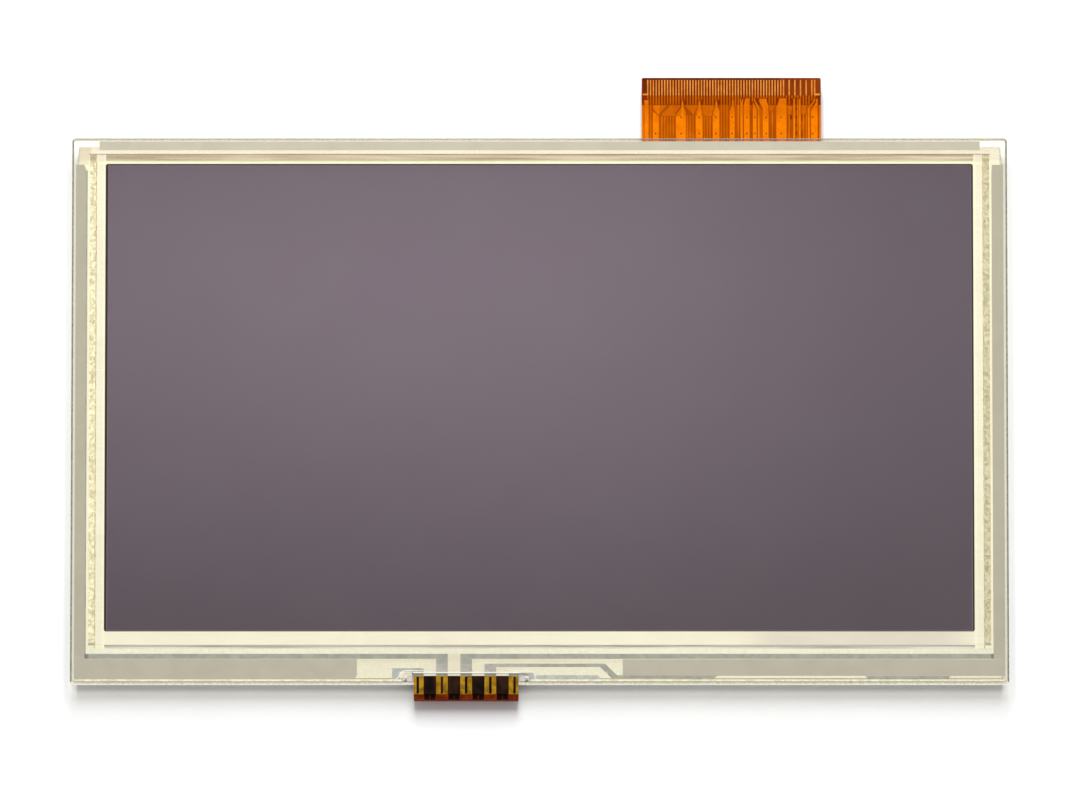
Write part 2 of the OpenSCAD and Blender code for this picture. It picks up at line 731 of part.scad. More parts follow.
module tail_stiffener() {
    color([0.75, 0.45, 0.1]) box(tail_x - neck_w / 2, tail_x + neck_w / 2,
        neck_y1 - contact_l - stiff_lap, neck_y1, tail_z0, tail_z0 + tail_stiff_t);
}

// The tape ring between the bezel and the touch glass
module panel_gasket() {
    step = 0.2;
    x = body_x - step;
    y = body_y - step;
    color([0.95, 0.95, 0.9]) frame_sheet([-x, x, -y, y],
        [-x + gasket_side_w, x - gasket_side_w, -y + gasket_bottom_w, y - gasket_top_w],
        body_t, gasket_t);
}

// The steel bezel: one pressed pan with a window, snap windows and flex notches
module bezel() {
    z0 = flange_t + wall_gap;
    r_in = bend_r - bezel_t;
    color([0.93, 0.92, 0.86]) difference() {
        pan(body_x, body_y, z0, body_t, bend_r);
        pan(body_x - bezel_t, body_y - bezel_t, z0 - 1, z_bezel, r_in);
        sheet(-view_x, view_x, view_y0, view_y1, view_r, 0, body_t + 1);
        at_snaps() box(-snap_w / 2, snap_w / 2, -1, snap_lip, z_snap, body_t + 1);
        box(flex_x - flex_w / 2 - flex_fit, flex_x + flex_w / 2 + flex_fit,
            body_y - bezel_t - frame_fit, body_y + 1, 0, z_flex + flex_total + flex_fit);
        box(tail_x - recess_w / 2, tail_x + recess_w / 2, -body_y - 1,
            -body_y + bezel_t + frame_fit, 0, z_reflector);
    }
}

module front_polarizer() {
    color([0.24, 0.21, 0.24]) box(-cell_x + pol_step, cell_x - pol_step, cell_y0 + pol_step,
        (view_y1 + filter_y1) / 2, z_front_pol, z_front_pol + pol_t);
}

module filter_glass() {
    color([0.35, 0.38, 0.4]) box(-cell_x, cell_x, cell_y0, filter_y1,
        z_filter, z_filter + cell_glass_t);
}

module cell_seal() {
    color([0.8, 0.78, 0.7]) frame_sheet([-cell_x, cell_x, cell_y0, filter_y1],
        [-cell_x + seal_w, cell_x - seal_w, cell_y0 + seal_w, filter_y1 - seal_w / 2],
        z_flex, seal_t);
}

module tft_glass() {
    color([0.55, 0.62, 0.62]) box(-cell_x, cell_x, cell_y0, cell_y1, z_tft, z_flex);
}

module rear_polarizer() {
    color([0.2, 0.2, 0.23]) box(-open_x + sheet_fit, open_x - sheet_fit,
        open_y0 + sheet_fit, open_y1 - sheet_fit, z_rear_pol, z_tft);
}

// Two driver chips face down on the cell's contact ledge
module driver_chips() {
    y0 = filter_y1 + (ledge_h - chip_w) / 3;
    color([0.15, 0.15, 0.17]) for (x = chip_sites)
        box(x - chip_l / 2, x + chip_l / 2, y0, y0 + chip_w, z_flex, z_flex + chip_t);
}

// The black tape ring on the ledge under the cell
module cell_tape() {
    color([0.08, 0.08, 0.08]) frame_sheet(
        [-cell_x + tape_step, cell_x - tape_step, cell_y0 + tape_step, cell_y1 - tape_step],
        [-open_x - tape_step, open_x + tape_step, open_y0 - tape_step, open_y1 + tape_step],
        z_tape, z_tft - z_tape);
}

// One optical film with its two tabs
module optical_sheet(z, t) {
    x = open_x - sheet_fit;
    box(-x, x, open_y0 + sheet_fit, open_y1 - sheet_fit, z, z + t);
    for (p = tab_sites) translate([p[0] * x, p[1], 0])
        box(-tab_d, tab_d, -tab_l / 2, tab_l / 2, z, z + t);
}

module upper_prism_sheet() {
    color([0.86, 0.88, 0.9]) optical_sheet(z_upper_prism, prism_t);
}

module lower_prism_sheet() {
    color([0.82, 0.85, 0.88]) optical_sheet(z_lower_prism, prism_t);
}

module diffuser_sheet() {
    color([0.95, 0.95, 0.95]) optical_sheet(z_sheets, diffuser_t);
}

// The light guide, with an ear at each side that keys it in the frame
module light_guide() {
    color([0.85, 0.93, 0.95]) {
        box(-guide_x, guide_x, guide_y0, guide_y1, z_guide, z_sheets);
        box(-guide_x - ear_d, guide_x + ear_d, -ear_l / 2, ear_l / 2, z_guide, z_sheets);
    }
}

module reflector_sheet() {
    color("white") box(-guide_x, guide_x, guide_y0, guide_y1, z_reflector, z_guide);
}

// The LED strip's flex: a bar along the bottom, an arm up the right-hand rail,
// a run along the top and a riser to the main flex
module led_flex() {
    z1 = z_sheets + led_flex_t;
    bar_y0 = cavity_y0 + led_gap;
    bar_lap = 0.8;
    bar_end = 1;
    color([0.85, 0.55, 0.2]) {
        box(-guide_x + bar_end, arm_x1, bar_y0, guide_y0 + bar_lap, z_sheets, z1);
        box(arm_x0, arm_x1, bar_y0, riser_y1, z_sheets, z1);
        box(riser_x0, arm_x1, run_y0, riser_y1, z_sheets, z1);
        box(riser_x0, riser_x0 + riser_w, riser_y1 - led_flex_t, riser_y1, z_sheets, z_flex);
    }
}

// The side-view LEDs, hung under the flex and facing the light guide
module leds() {
    row_end = 3;
    pitch = 2 * (guide_x - row_end) / led_count;
    y1 = guide_y0 - led_gap;
    color([0.95, 0.93, 0.7]) for (i = [0:led_count - 1])
        translate([(i - (led_count - 1) / 2) * pitch, 0, 0])
            box(-led_l / 2, led_l / 2, y1 - led_d, y1, z_sheets - led_h, z_sheets);
}

// The moulded frame that holds the light guide from behind and the cell from in front
module mold_frame() {
    g = pocket_fit;
    slot_x1 = arm_x1 + slot_fit;
    slot_y1 = riser_y1 + g;
    z_slot = z_sheets - wall_gap;
    tab_end = open_x - sheet_fit + tab_d + g;
    tail_half = recess_w / 2 + plate_t + plate_fit;
    color([0.8, 0.78, 0.7]) {
        difference() {
            union() {
                pan(frame_x, frame_y, 0, z_bezel, bend_r - bezel_t);
                sheet(-body_x, body_x, -body_y, body_y, bend_r, 0, flange_t);
                at_snaps() snap_boss();
            }
            // seat of the rear plate
            box(-plate_x - plate_fit, plate_x + plate_fit, -plate_y - plate_fit,
                plate_y + plate_fit, -1, plate_t);
            // pocket of the light guide and the LEDs, keyed by the guide's ears
            box(-guide_x - g, guide_x + g, cavity_y0, guide_y1 + g, -1, z_roof);
            box(-guide_x - ear_d - g, guide_x + ear_d + g, -ear_l / 2 - g, ear_l / 2 + g,
                -1, z_roof);
            // opening under the cell with the films' notches, and the cell's pocket
            box(-open_x, open_x, open_y0, open_y1, 0, z_bezel + 1);
            for (p = tab_sites) translate([p[0] * tab_end / 2, p[1], 0])
                box(-tab_end / 2, tab_end / 2, -tab_l / 2 - g, tab_l / 2 + g, z_slot, z_bezel);
            box(-cell_x - g, cell_x + g, cell_y0 - g, cell_y1 + g, z_tape, z_bezel + 1);
            // channel of the LED flex: arm, top run and riser
            box(guide_x, slot_x1, cavity_y0, slot_y1, z_slot, z_roof);
            box(riser_x0 - slot_fit, slot_x1, guide_y1, slot_y1, z_slot, z_roof);
            box(riser_x0 - slot_fit, riser_x0 + riser_w + slot_fit, cell_y1, slot_y1,
                z_slot, z_flex + g);
            // way out of the main flex
            box(flex_x - flex_w / 2 - flex_fit, flex_x + flex_w / 2 + flex_fit,
                cell_y1, body_y + 1, z_flex, z_bezel + 1);
            // relief for the touch tail and its recess
            box(tail_x - tail_half, tail_x + tail_half, -body_y - 1, cavity_y0 + g,
                -1, z_reflector + g / 2);
        }
        for (i = [-1, 1], y = peg_rows) translate([i * peg_x, y, wall_gap])
            cylinder(r = peg_r, h = plate_t);
    }
}

// One boss that fills a snap window, with a lead-in at its top
module snap_boss() {
    z0 = z_snap + snap_fit;
    z1 = body_t - snap_fit;
    w = snap_w - 2 * snap_fit;
    y0 = bezel_t - frame_fit;
    y1 = snap_lip - snap_fit;
    translate([-w / 2, 0, 0]) rotate([90, 0, 90]) linear_extrude(w) polygon([
        [y1, z0], [frame_fit, z0], [frame_fit, z1 - snap_lead], [y0 + frame_fit, z1], [y1, z1]
    ]);
}

// The stamped rear plate: a flat sheet with stiffening beads and a recess for the tail
module rear_plate() {
    half = recess_w / 2;
    color([0.78, 0.79, 0.8]) difference() {
        union() {
            sheet(-plate_x, plate_x, -plate_y, plate_y, plate_r, 0, plate_t);
            for (p = bead_sites) translate([p[0], p[1], 0])
                slot_bar(bead_l + 2 * plate_t, bead_w + 2 * plate_t, 0, z_reflector);
            box(tail_x - half - plate_t, tail_x + half + plate_t, -plate_y,
                recess_y1 + plate_t, 0, z_reflector);
        }
        for (p = bead_sites) translate([p[0], p[1], 0]) slot_bar(bead_l, bead_w, -1, bead_d);
        box(tail_x - half, tail_x + half, -plate_y - 1, recess_y1, -1, bead_d);
        for (i = [-1, 1], y = peg_rows) translate([i * peg_x, y, -1])
            cylinder(r = peg_r + peg_fit, h = 2 * plate_t + 1);
    }
}

// Outline of the main flex, with round corners at its free end
module flex_outline(y0, y1) {
    x0 = flex_x - flex_w / 2;
    x1 = flex_x + flex_w / 2;
    translate([x0, y0]) square([x1 - x0, y1 - y0 - flex_r]);
    translate([x0 + flex_r, y0]) square([x1 - x0 - 2 * flex_r, y1 - y0]);
    for (x = [x0 + flex_r, x1 - flex_r]) translate([x, y1 - flex_r]) circle(flex_r);
}

module main_flex() {
    color([0.72, 0.3, 0.02]) translate([0, 0, z_flex]) linear_extrude(flex_t)
        flex_outline(flex_y0, flex_y1);
}

// One land: its upper outline, held short of the contacts, and its sides down to the bond
module land(l) {
    top = cover_y1 - land_step;
    polygon(concat(
        [[l[0][0], flex_y0]],
        [for (p = l) [p[0], min(root_y + p[1], top)]],
        [[l[len(l) - 1][0], flex_y0]]
    ));
}

// The wide copper lands, pierced by their vias, and the fans between them
module flex_lands() {
    color([0.96, 0.55, 0]) translate([flex_x, 0, z_copper]) linear_extrude(copper_t) {
        difference() {
            for (l = lands) land(l);
            for (x = via_x, y = via_rows) translate([x, glass_y + y]) circle(via_r, $fn = 24);
            translate([lone_via_x, glass_y + via_rows[0]]) circle(via_r, $fn = 24);
        }
        for (f = fans) translate([0, root_y]) polygon(f);
    }
}

// Place of contact i, counted from the flex's centre
function finger_at(i) = (i - (finger_count - 1) / 2) * finger_pitch;

// Places along x of an outline's points
function xs(f) = [for (p = f) p[0]];

// Heights of an outline's points that a fine trace at x would meet
function met(f, x, r) = x + r < min(xs(f)) || x - r > max(xs(f)) ? [] : concat(
    [for (p = f) if (abs(p[0] - x) < r + land_step) p[1]],
    [for (d = [-r, 0, r]) lookup(x + d, f)]
);

// The fine traces, one below each contact. Each stops short of the lands and fans in its
// way and, if no land fills its place at the bond, goes on below them.
module flex_traces() {
    r = finger_w / 2 + land_step;
    color([0.62, 0.26, 0.02]) for (i = [0:finger_count - 1]) {
        x = finger_at(i);
        on_fan = [for (f = fans, p = f) if (len(met(f, x, r)) > 0) p[1]];
        on_land = [for (l = lands, y = met(l, x, r)) y];
        at_bond = [for (l = lands) if (x + r > l[0][0] && x - r < l[len(l) - 1][0]) l];
        stops = concat(on_fan, on_land);
        translate([flex_x + x, 0, 0]) {
            if (len(stops) == 0)
                fine_trace(flex_y0, cover_y1);
            else
                fine_trace(root_y + max(max(stops) + land_step, 0), cover_y1);
            if (len(stops) > 0 && len(at_bond) == 0)
                fine_trace(flex_y0, root_y + min(stops) - land_step);
        }
    }
}

// A length of fine trace
module fine_trace(y0, y1) {
    if (y1 > y0 + finger_w)
        box(-finger_w / 2, finger_w / 2, y0, y1, z_copper, z_coverlay);
}

// The gilt contacts: near the right end only every other one is fitted, and the last.
// An alignment mark runs out from the foot of each outermost contact.
module flex_contacts() {
    full = finger_count - 11;
    mark_x = flex_w / 2 - mark_step;
    color([0.98, 0.75, 0.4]) translate([flex_x, 0, 0]) {
        for (i = [0:finger_count - 1])
            if (i < full || i % 2 == 0 || i == finger_count - 1)
                translate([finger_at(i), 0, 0])
                    box(-finger_w / 2, finger_w / 2, cover_y1, flex_y1 - finger_step,
                        z_copper, z_coverlay);
        box(-mark_x, finger_at(0), cover_y1, cover_y1 + mark_h, z_copper, z_coverlay);
        box(finger_at(finger_count - 1), mark_x, cover_y1, cover_y1 + mark_h,
            z_copper, z_coverlay);
    }
}

// The coverlay over the copper, up to the contacts
module flex_coverlay() {
    color([0.9, 0.5, 0.05, 0.5]) translate([0, 0, z_coverlay]) linear_extrude(coverlay_t)
        translate([flex_x - flex_w / 2, cell_y1]) square([flex_w, cover_y1 - cell_y1]);
}

module flex_stiffener() {
    color([0.45, 0.15, 0.02]) translate([0, 0, z_flex - stiff_t]) linear_extrude(stiff_t)
        flex_outline(root_y, flex_y1);
}

touch_film();
film_silver();
spacer_ring();
bus_bars();
glass_traces();
touch_glass();
touch_tail();
tail_pads();
tail_coverlay();
tail_contacts();
tail_stiffener();
panel_gasket();
bezel();
front_polarizer();
filter_glass();
cell_seal();
tft_glass();
rear_polarizer();
driver_chips();
cell_tape();
upper_prism_sheet();
lower_prism_sheet();
diffuser_sheet();
light_guide();
reflector_sheet();
led_flex();
leds();
mold_frame();
rear_plate();
main_flex();
flex_lands();
flex_traces();
flex_contacts();
flex_coverlay();
flex_stiffener();
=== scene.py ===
"""Finishes, clear layers and fine trim of a colour display module with a touch panel.

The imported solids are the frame. Each sub-assembly's class makes the pieces that need a
softer or finer form than the solids have, and dresses the rest.
"""

import logging
import math
from dataclasses import dataclass, field, replace
from enum import Enum

import bmesh
import bpy
from mathutils import Matrix, Vector, noise


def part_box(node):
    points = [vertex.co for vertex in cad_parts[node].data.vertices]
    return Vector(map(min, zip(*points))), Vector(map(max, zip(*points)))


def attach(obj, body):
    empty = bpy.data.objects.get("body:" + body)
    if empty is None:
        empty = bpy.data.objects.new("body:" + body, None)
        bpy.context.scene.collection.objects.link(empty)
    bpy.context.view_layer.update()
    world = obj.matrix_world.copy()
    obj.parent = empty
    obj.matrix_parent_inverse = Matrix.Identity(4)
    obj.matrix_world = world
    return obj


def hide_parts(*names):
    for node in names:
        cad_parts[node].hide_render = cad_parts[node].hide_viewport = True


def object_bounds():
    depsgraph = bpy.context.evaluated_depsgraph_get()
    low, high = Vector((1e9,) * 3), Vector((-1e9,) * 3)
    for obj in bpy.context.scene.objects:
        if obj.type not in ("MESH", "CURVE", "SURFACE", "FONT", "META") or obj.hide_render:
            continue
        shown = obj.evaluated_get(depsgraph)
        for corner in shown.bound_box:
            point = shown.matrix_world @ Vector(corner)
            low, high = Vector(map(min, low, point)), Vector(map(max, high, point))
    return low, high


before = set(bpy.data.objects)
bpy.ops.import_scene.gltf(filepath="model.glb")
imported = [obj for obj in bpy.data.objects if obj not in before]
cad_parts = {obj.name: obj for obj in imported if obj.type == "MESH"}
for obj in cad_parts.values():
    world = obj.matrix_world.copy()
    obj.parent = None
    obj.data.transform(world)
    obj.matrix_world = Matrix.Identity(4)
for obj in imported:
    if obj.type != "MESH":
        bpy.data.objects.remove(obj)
CAD_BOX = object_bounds()

LOG = logging.getLogger("display_module")
MM = 0.001
SKIN = 6e-6  # gap kept between a clear piece and its neighbours
WELD = 2e-7  # corners closer than this are one corner
HAIR = 1e-5  # slack when a corner is looked for on a line
LEVEL, UPRIGHT = 0.9, 0.1  # upward part of a level and of an upright face's normal
FLAT, STEEP, ENDWISE = 0.98, 0.4, 0.3  # limits between faces that take other finishes
MERGE_ANGLE = math.radians(0.5)
STEP = 0.3 * MM  # spacing of the ragged corners of a ribbon
LOW_NOISE, HIGH_NOISE = 0.3, 0.7  # most of a noise lies between these
GRAZING_SHARE = 0.7  # what a clear surface mirrors when seen edge on
GRAZING_POWER = 5.0  # how late that share rises

Colour = tuple[float, float, float]
Span = tuple[float, float]
Socket = bpy.types.NodeSocket
Shader = bpy.types.ShaderNode
Material = bpy.types.Material
Piece = bpy.types.Object
Mesh = bmesh.types.BMesh


class Axis(Enum):
    """Direction in which a finish changes or is brushed."""

    X = 0
    Y = 1
    Z = 2


class Face(Enum):
    """How much of the light a clear surface mirrors when met square on."""

    OPEN = 0.03
    BONDED = 0.002
    COATED = 0.006


def srgb(red: float, green: float, blue: float) -> Colour:
    """Turns display values into the linear ones that shaders take.

    Args:
        red: Red from 0 to 255.
        green: Green from 0 to 255.
        blue: Blue from 0 to 255.

    Returns:
        The linear colour.
    """

    def linear(value: float) -> float:
        """Linear value of one channel."""
        share = value / 255
        return share / 12.92 if share <= 0.04045 else ((share + 0.055) / 1.055) ** 2.4

    return linear(red), linear(green), linear(blue)


class Graph:
    """A material's node tree, with short calls for the nodes that the finishes share."""

    def __init__(self, name: str) -> None:
        """Starts an empty material.

        Args:
            name: Name of the material.
        """
        self.material = bpy.data.materials.new(name)
        self.material.use_nodes = True
        self.nodes = self.material.node_tree.nodes
        self.links = self.material.node_tree.links
        self.nodes.clear()
        self.place = self.nodes.new("ShaderNodeTexCoord").outputs["Object"]

    def put(self, socket: Socket, value: object) -> None:
        """Links an output to a socket, or sets a plain value on it.

        Args:
            socket: Input socket.
            value: Output socket, number or colour.
        """
        if isinstance(value, Socket):
            self.links.new(value, socket)
        elif isinstance(value, tuple) and len(socket.default_value) == 4:
            socket.default_value = (*value, 1.0)
        else:
            socket.default_value = value

    def stretched(self, factors: Colour) -> Socket:
        """Object coordinates scaled by a factor on each axis."""
        node = self.nodes.new("ShaderNodeMapping")
        self.links.new(self.place, node.inputs["Vector"])
        node.inputs["Scale"].default_value = factors
        return node.outputs["Vector"]

    def grain(
        self, size_mm: float, detail: float = 3.0, stretch: Colour = (1.0,) * 3, warp: float = 0.0
    ) -> Socket:
        """Soft noise.

        Args:
            size_mm: Size of one blotch in millimetres.
            detail: Number of finer octaves.
            stretch: Factor on each axis, small along the direction it is drawn out.
            warp: Distortion of the pattern.

        Returns:
            The noise value, about 0.5 on average.
        """
        node = self.nodes.new("ShaderNodeTexNoise")
        self.links.new(self.stretched(stretch), node.inputs["Vector"])
        node.inputs["Scale"].default_value = 1000 / size_mm
        node.inputs["Detail"].default_value = detail
        node.inputs["Distortion"].default_value = warp
        return node.outputs[0]

    def cells(self, size_mm: float) -> Socket:
        """Colour that changes from cell to cell, as crystal grains do."""
        node = self.nodes.new("ShaderNodeTexVoronoi")
        self.links.new(self.place, node.inputs["Vector"])
        node.inputs["Scale"].default_value = 1000 / size_mm
        return node.outputs["Color"]

    def span(
        self, value: object, low: float, high: float, to_low: float = 0.0, to_high: float = 1.0
    ) -> Socket:
        """Maps a value from one span to another, clamped.

        Args:
            value: Value to map.
            low: Start of the span it comes from.
            high: End of the span it comes from.
            to_low: Result at low.
            to_high: Result at high.

        Returns:
            The mapped value.
        """
        node = self.nodes.new("ShaderNodeMapRange")
        node.interpolation_type = "SMOOTHSTEP"
        for index, part in enumerate((value, low, high, to_low, to_high)):
            self.put(node.inputs[index], part)
        return node.outputs[0]

    def about(self, pattern: object, middle: float, below: float, above: float) -> object:
        """Value that follows a noise a little below and above a middle value."""
        return self.span(pattern, LOW_NOISE, HIGH_NOISE, middle - below, middle + above)

    def along(self, axis: Axis) -> Socket:
        """One object coordinate, in metres."""
        node = self.nodes.new("ShaderNodeSeparateXYZ")
        self.links.new(self.place, node.inputs[0])
        return node.outputs[axis.value]

    def zone(self, axis: Axis, low_mm: float, high_mm: float, soft_mm: float = 0.1) -> object:
        """Mask that is 1 between two planes and 0 outside them.

        Args:
            axis: Axis across the zone.
            low_mm: Lower plane in millimetres.
            high_mm: Upper plane in millimetres.
            soft_mm: Width over which the mask fades at each plane.

        Returns:
            The mask.
        """
        place = self.along(axis)
        half = soft_mm * MM / 2
        rise = self.span(place, low_mm * MM - half, low_mm * MM + half)
        fall = self.span(place, high_mm * MM - half, high_mm * MM + half, 1.0, 0.0)
        return self.calc("MULTIPLY", rise, fall)

    def calc(self, how: str, first: object, second: object) -> Socket:
        """One step of arithmetic.

        Args:
            how: Name of the operation.
            first: First value.
            second: Second value.

        Returns:
            The result.
        """
        node = self.nodes.new("ShaderNodeMath")
        node.operation = how
        for socket, part in zip(node.inputs, (first, second)):
            self.put(socket, part)
        return node.outputs[0]

    def blend(self, share: object, first: object, second: object, how: str = "MIX") -> Socket:
        """Mixes two colours.

        Args:
            share: Share of the second colour.
            first: First colour.
            second: Second colour.
            how: Kind of mix, such as MIX or MULTIPLY.

        Returns:
            The mixed colour.
        """
        node = self.nodes.new("ShaderNodeMix")
        node.data_type, node.blend_type = "RGBA", how
        for index, part in ((0, share), (6, first), (7, second)):
            self.put(node.inputs[index], part)
        return node.outputs[2]

    def relief(self, height: object, depth_mm: float, strength: float) -> Socket:
        """Turns a height into a bent normal.

        Args:
            height: Height from 0 to 1.
            depth_mm: Depth of the relief in millimetres.
            strength: Strength from 0 to 1.

        Returns:
            The normal.
        """
        node = self.nodes.new("ShaderNodeBump")
        node.inputs["Strength"].default_value = strength
        node.inputs["Distance"].default_value = depth_mm * MM
        self.links.new(height, node.inputs["Height"])
        return node.outputs[0]

    def solid(self, **sockets: object) -> Shader:
        """Principled shader with the named sockets set; an underscore stands for a space."""
        node = self.nodes.new("ShaderNodeBsdfPrincipled")
        for name, value in sockets.items():
            self.put(node.inputs[name.replace("_", " ")], value)
        return node

    def clear(self, tint: object) -> Shader:
        """Transparent shader of a tint."""
        node = self.nodes.new("ShaderNodeBsdfTransparent")
        self.put(node.inputs["Color"], tint)
        return node

    def mirror(self, face: Face, see: Shader, rough: float) -> Shader:
        """Adds the gloss of a clear surface, on its outer side, over what is seen through it.

        Args:
            face: Kind of surface, which sets how much it mirrors.
            see: Shader of what is seen through it.
            rough: Roughness of the gloss.

        Returns:
            The mixed shader.
        """
        slant = self.nodes.new("ShaderNodeLayerWeight").outputs["Facing"]
        rise = self.calc("POWER", slant, GRAZING_POWER)
        share = self.span(rise, 0.0, 1.0, face.value, GRAZING_SHARE)
        outer = self.nodes.new("ShaderNodeNewGeometry").outputs["Backfacing"]
        gloss = self.nodes.new("ShaderNodeBsdfGlossy")
        gloss.inputs["Roughness"].default_value = rough
        outside = self.calc("SUBTRACT", 1.0, outer)
        return self.both(self.calc("MULTIPLY", share, outside), see, gloss)

    def both(self, share: object, first: Shader, second: Shader) -> Shader:
        """Mixes two shaders.

        Args:
            share: Share of the second shader.
            first: First shader.
            second: Second shader.

        Returns:
            The mixed shader.
        """
        node = self.nodes.new("ShaderNodeMixShader")
        self.put(node.inputs[0], share)
        self.links.new(first.outputs[0], node.inputs[1])
        self.links.new(second.outputs[0], node.inputs[2])
        return node

    def done(self, shader: Shader) -> Material:
        """Ends the tree in a shader and returns the material."""
        output = self.nodes.new("ShaderNodeOutputMaterial")
        self.links.new(shader.outputs[0], output.inputs["Surface"])
        return self.material


@dataclass(frozen=True)
class ClearSheet:
    """Clear film or glass: a tinted look through it under a thin gloss."""

    name: str
    tint: Colour
    face: Face
    rough: float = 0.04
    haze: float = 0.0
    haze_mm: float = 14.0
    haze_colour: Colour = (0.8, 0.79, 0.74)

    def material(self) -> Material:
        """Material with a faint uneven haze."""
        g = Graph(self.name)
        smear = g.span(g.grain(self.haze_mm, 4.0, warp=0.6), 0.42, 0.7, 0.0, self.haze)
        dust = g.solid(Base_Color=self.haze_colour, Roughness=0.9)
        return g.done(g.mirror(self.face, g.both(smear, g.clear(self.tint), dust), self.rough))


@dataclass(frozen=True)
class Patch:
    """Block of space, in millimetres, in which a finish takes another tone."""

    tone: Colour
    x: Span | None = None
    y: Span | None = None
    z: Span | None = None
    soft_mm: float = 0.1

    def over(self, g: Graph, colour: object) -> object:
        """Tones a colour inside the block.

        Args:
            g: Graph to work in.
            colour: Colour to tone.

        Returns:
            The toned colour.
        """
        mask = 1.0
        for axis, span in zip(Axis, (self.x, self.y, self.z)):
            if span:
                mask = g.calc("MULTIPLY", mask, g.zone(axis, *span, self.soft_mm))
        return g.blend(mask, colour, self.tone, "MULTIPLY")


Patches = tuple[Patch, ...]


@dataclass(frozen=True)
class TwoTone:
    """Finish that varies between a darker and a lighter tone, and again in its patches."""

    name: str
    dark: Colour
    light: Colour
    patches: Patches = field(default=(), kw_only=True)

    def tones(self, g: Graph, share: object) -> Socket:
        """Colour between the two tones, toned again by each patch."""
        colour = g.blend(share, self.dark, self.light)
        for patch in self.patches:
            colour = patch.over(g, colour)
        return colour


@dataclass(frozen=True)
class CutEdge(TwoTone):
    """Cut or ground edge of a clear sheet, cloudy and darker than its face."""

    cloud: float
    painted_glow: float = 0.0
    mark_mm: float = 0.5
    gloss_rough: float = 0.25

    def material(self) -> Material:
        """Material with cutting marks, some look through and a painted glow in place of light piped
        to the edge.
        """
        g = Graph(self.name)
        marks = g.grain(self.mark_mm, 4.0, warp=0.8)
        body = g.solid(
            Base_Color=self.tones(g, g.span(marks, 0.35, 0.65)),
            Roughness=g.span(marks, LOW_NOISE, HIGH_NOISE, 0.35, 0.6),
            Normal=g.relief(marks, 0.02, 0.1),
            # Painted glow: emission that stands in for light piped to the edge.
            Emission_Color=self.light,
            Emission_Strength=self.painted_glow,
        )
        see = g.both(g.about(marks, self.cloud, 0.1, 0.1), g.clear(self.light), body)
        return g.done(g.mirror(Face.OPEN, see, self.gloss_rough))


@dataclass(frozen=True)
class Adhesive:
    """Clear adhesive with cloudy patches where it has wetted unevenly."""

    name: str
    tint: Colour
    cloud: Colour
    deep: Colour
    least: float
    most: float
    frosted_y: Span | None = None
    frost: float = 0.75
    blotch_mm: float = 1.1
    speck_mm: float = 0.28
    gloss_rough: float = 0.2

    def material(self) -> Material:
        """Material that mixes a tinted look through with cloudy patches."""
        g = Graph(self.name)
        blotch = g.grain(self.blotch_mm, 4.0, warp=1.2)
        speck = g.grain(self.speck_mm, 2.0, warp=0.4)
        wetting = g.calc("ADD", blotch, g.calc("MULTIPLY", speck, 0.5))
        share = g.span(wetting, 0.55, 0.95, self.least, self.most)
        if self.frosted_y:
            frost = g.calc("MULTIPLY", g.zone(Axis.Y, *self.frosted_y), self.frost)
            share = g.calc("MAXIMUM", share, frost)
        body = g.solid(
            Base_Color=g.blend(g.span(blotch, 0.35, 0.65), self.deep, self.cloud),
            Roughness=0.55,
            Normal=g.relief(blotch, 0.05, 0.3),
        )
        see = g.both(share, g.clear(self.tint), body)
        return g.done(g.mirror(Face.BONDED, see, self.gloss_rough))


@dataclass(frozen=True)
class SilverInk(TwoTone):
    """Printed silver ink: satin metal flakes in a resin, mottled by the screen."""

    mottle_mm: float
    metal: float = 0.25
    rough: float = 0.5
    relief: float = 0.2
    upright_y: Span | None = None
    streak_mm: float = 0.7
    flake_mm: float = 0.12

    def material(self) -> Material:
        """Material with screen mottle, flake grain, a little relief and zones of other tone, which
        paint light and shade where given.
        """
        g = Graph(self.name)
        mottle = g.grain(self.mottle_mm, 4.0, warp=0.8)
        if self.upright_y:
            drawn = g.grain(self.streak_mm, 3.0, (0.035, 1.0, 1.0))
            level = g.calc("SUBTRACT", 1.0, g.zone(Axis.Y, *self.upright_y))
            mottle = g.blend(level, mottle, drawn)
        flake = g.grain(self.flake_mm, 2.0)
        tone = g.span(g.calc("ADD", mottle, g.calc("MULTIPLY", flake, 0.6)), 0.5, 1.05)
        return g.done(g.solid(
            Base_Color=self.tones(g, tone),
            Metallic=self.metal,
            Roughness=g.about(flake, self.rough, 0.08, 0.1),
            Normal=g.relief(g.calc("ADD", flake, mottle), 0.02, self.relief),
        ))


@dataclass(frozen=True)
class SheetSteel(TwoTone):
    """Thin bright steel sheet with rolling lines and small rubs."""

    rough: float
    spangle: float = 0.0
    metal: float = 0.85
    rolled: Axis = Axis.X
    line_mm: float = 0.16
    rub_mm: float = 9.0
    crystal_mm: float = 2.6

    def material(self) -> Material:
        """Material with rolling lines, rubs and, on zinc, crystal spangle."""
        g = Graph(self.name)
        stretch = tuple(0.02 if axis is self.rolled else 1.0 for axis in Axis)
        lines = g.grain(self.line_mm, 2.0, stretch)
        rub = g.grain(self.rub_mm, 5.0, warp=1.0)
        colour = self.tones(g, g.span(g.calc("ADD", lines, rub), 0.75, 1.25))
        if self.spangle:
            crystal = g.nodes.new("ShaderNodeRGBToBW")
            g.links.new(g.cells(self.crystal_mm), crystal.inputs[0])
            share = g.span(crystal.outputs[0], 0.2, 0.8, 0.0, self.spangle)
            colour = g.blend(share, colour, self.dark)
        return g.done(g.solid(
            Base_Color=colour,
            Metallic=self.metal,
            Roughness=g.about(rub, self.rough, 0.03, 0.05),
            Normal=g.relief(lines, 0.01, 0.25),
        ))


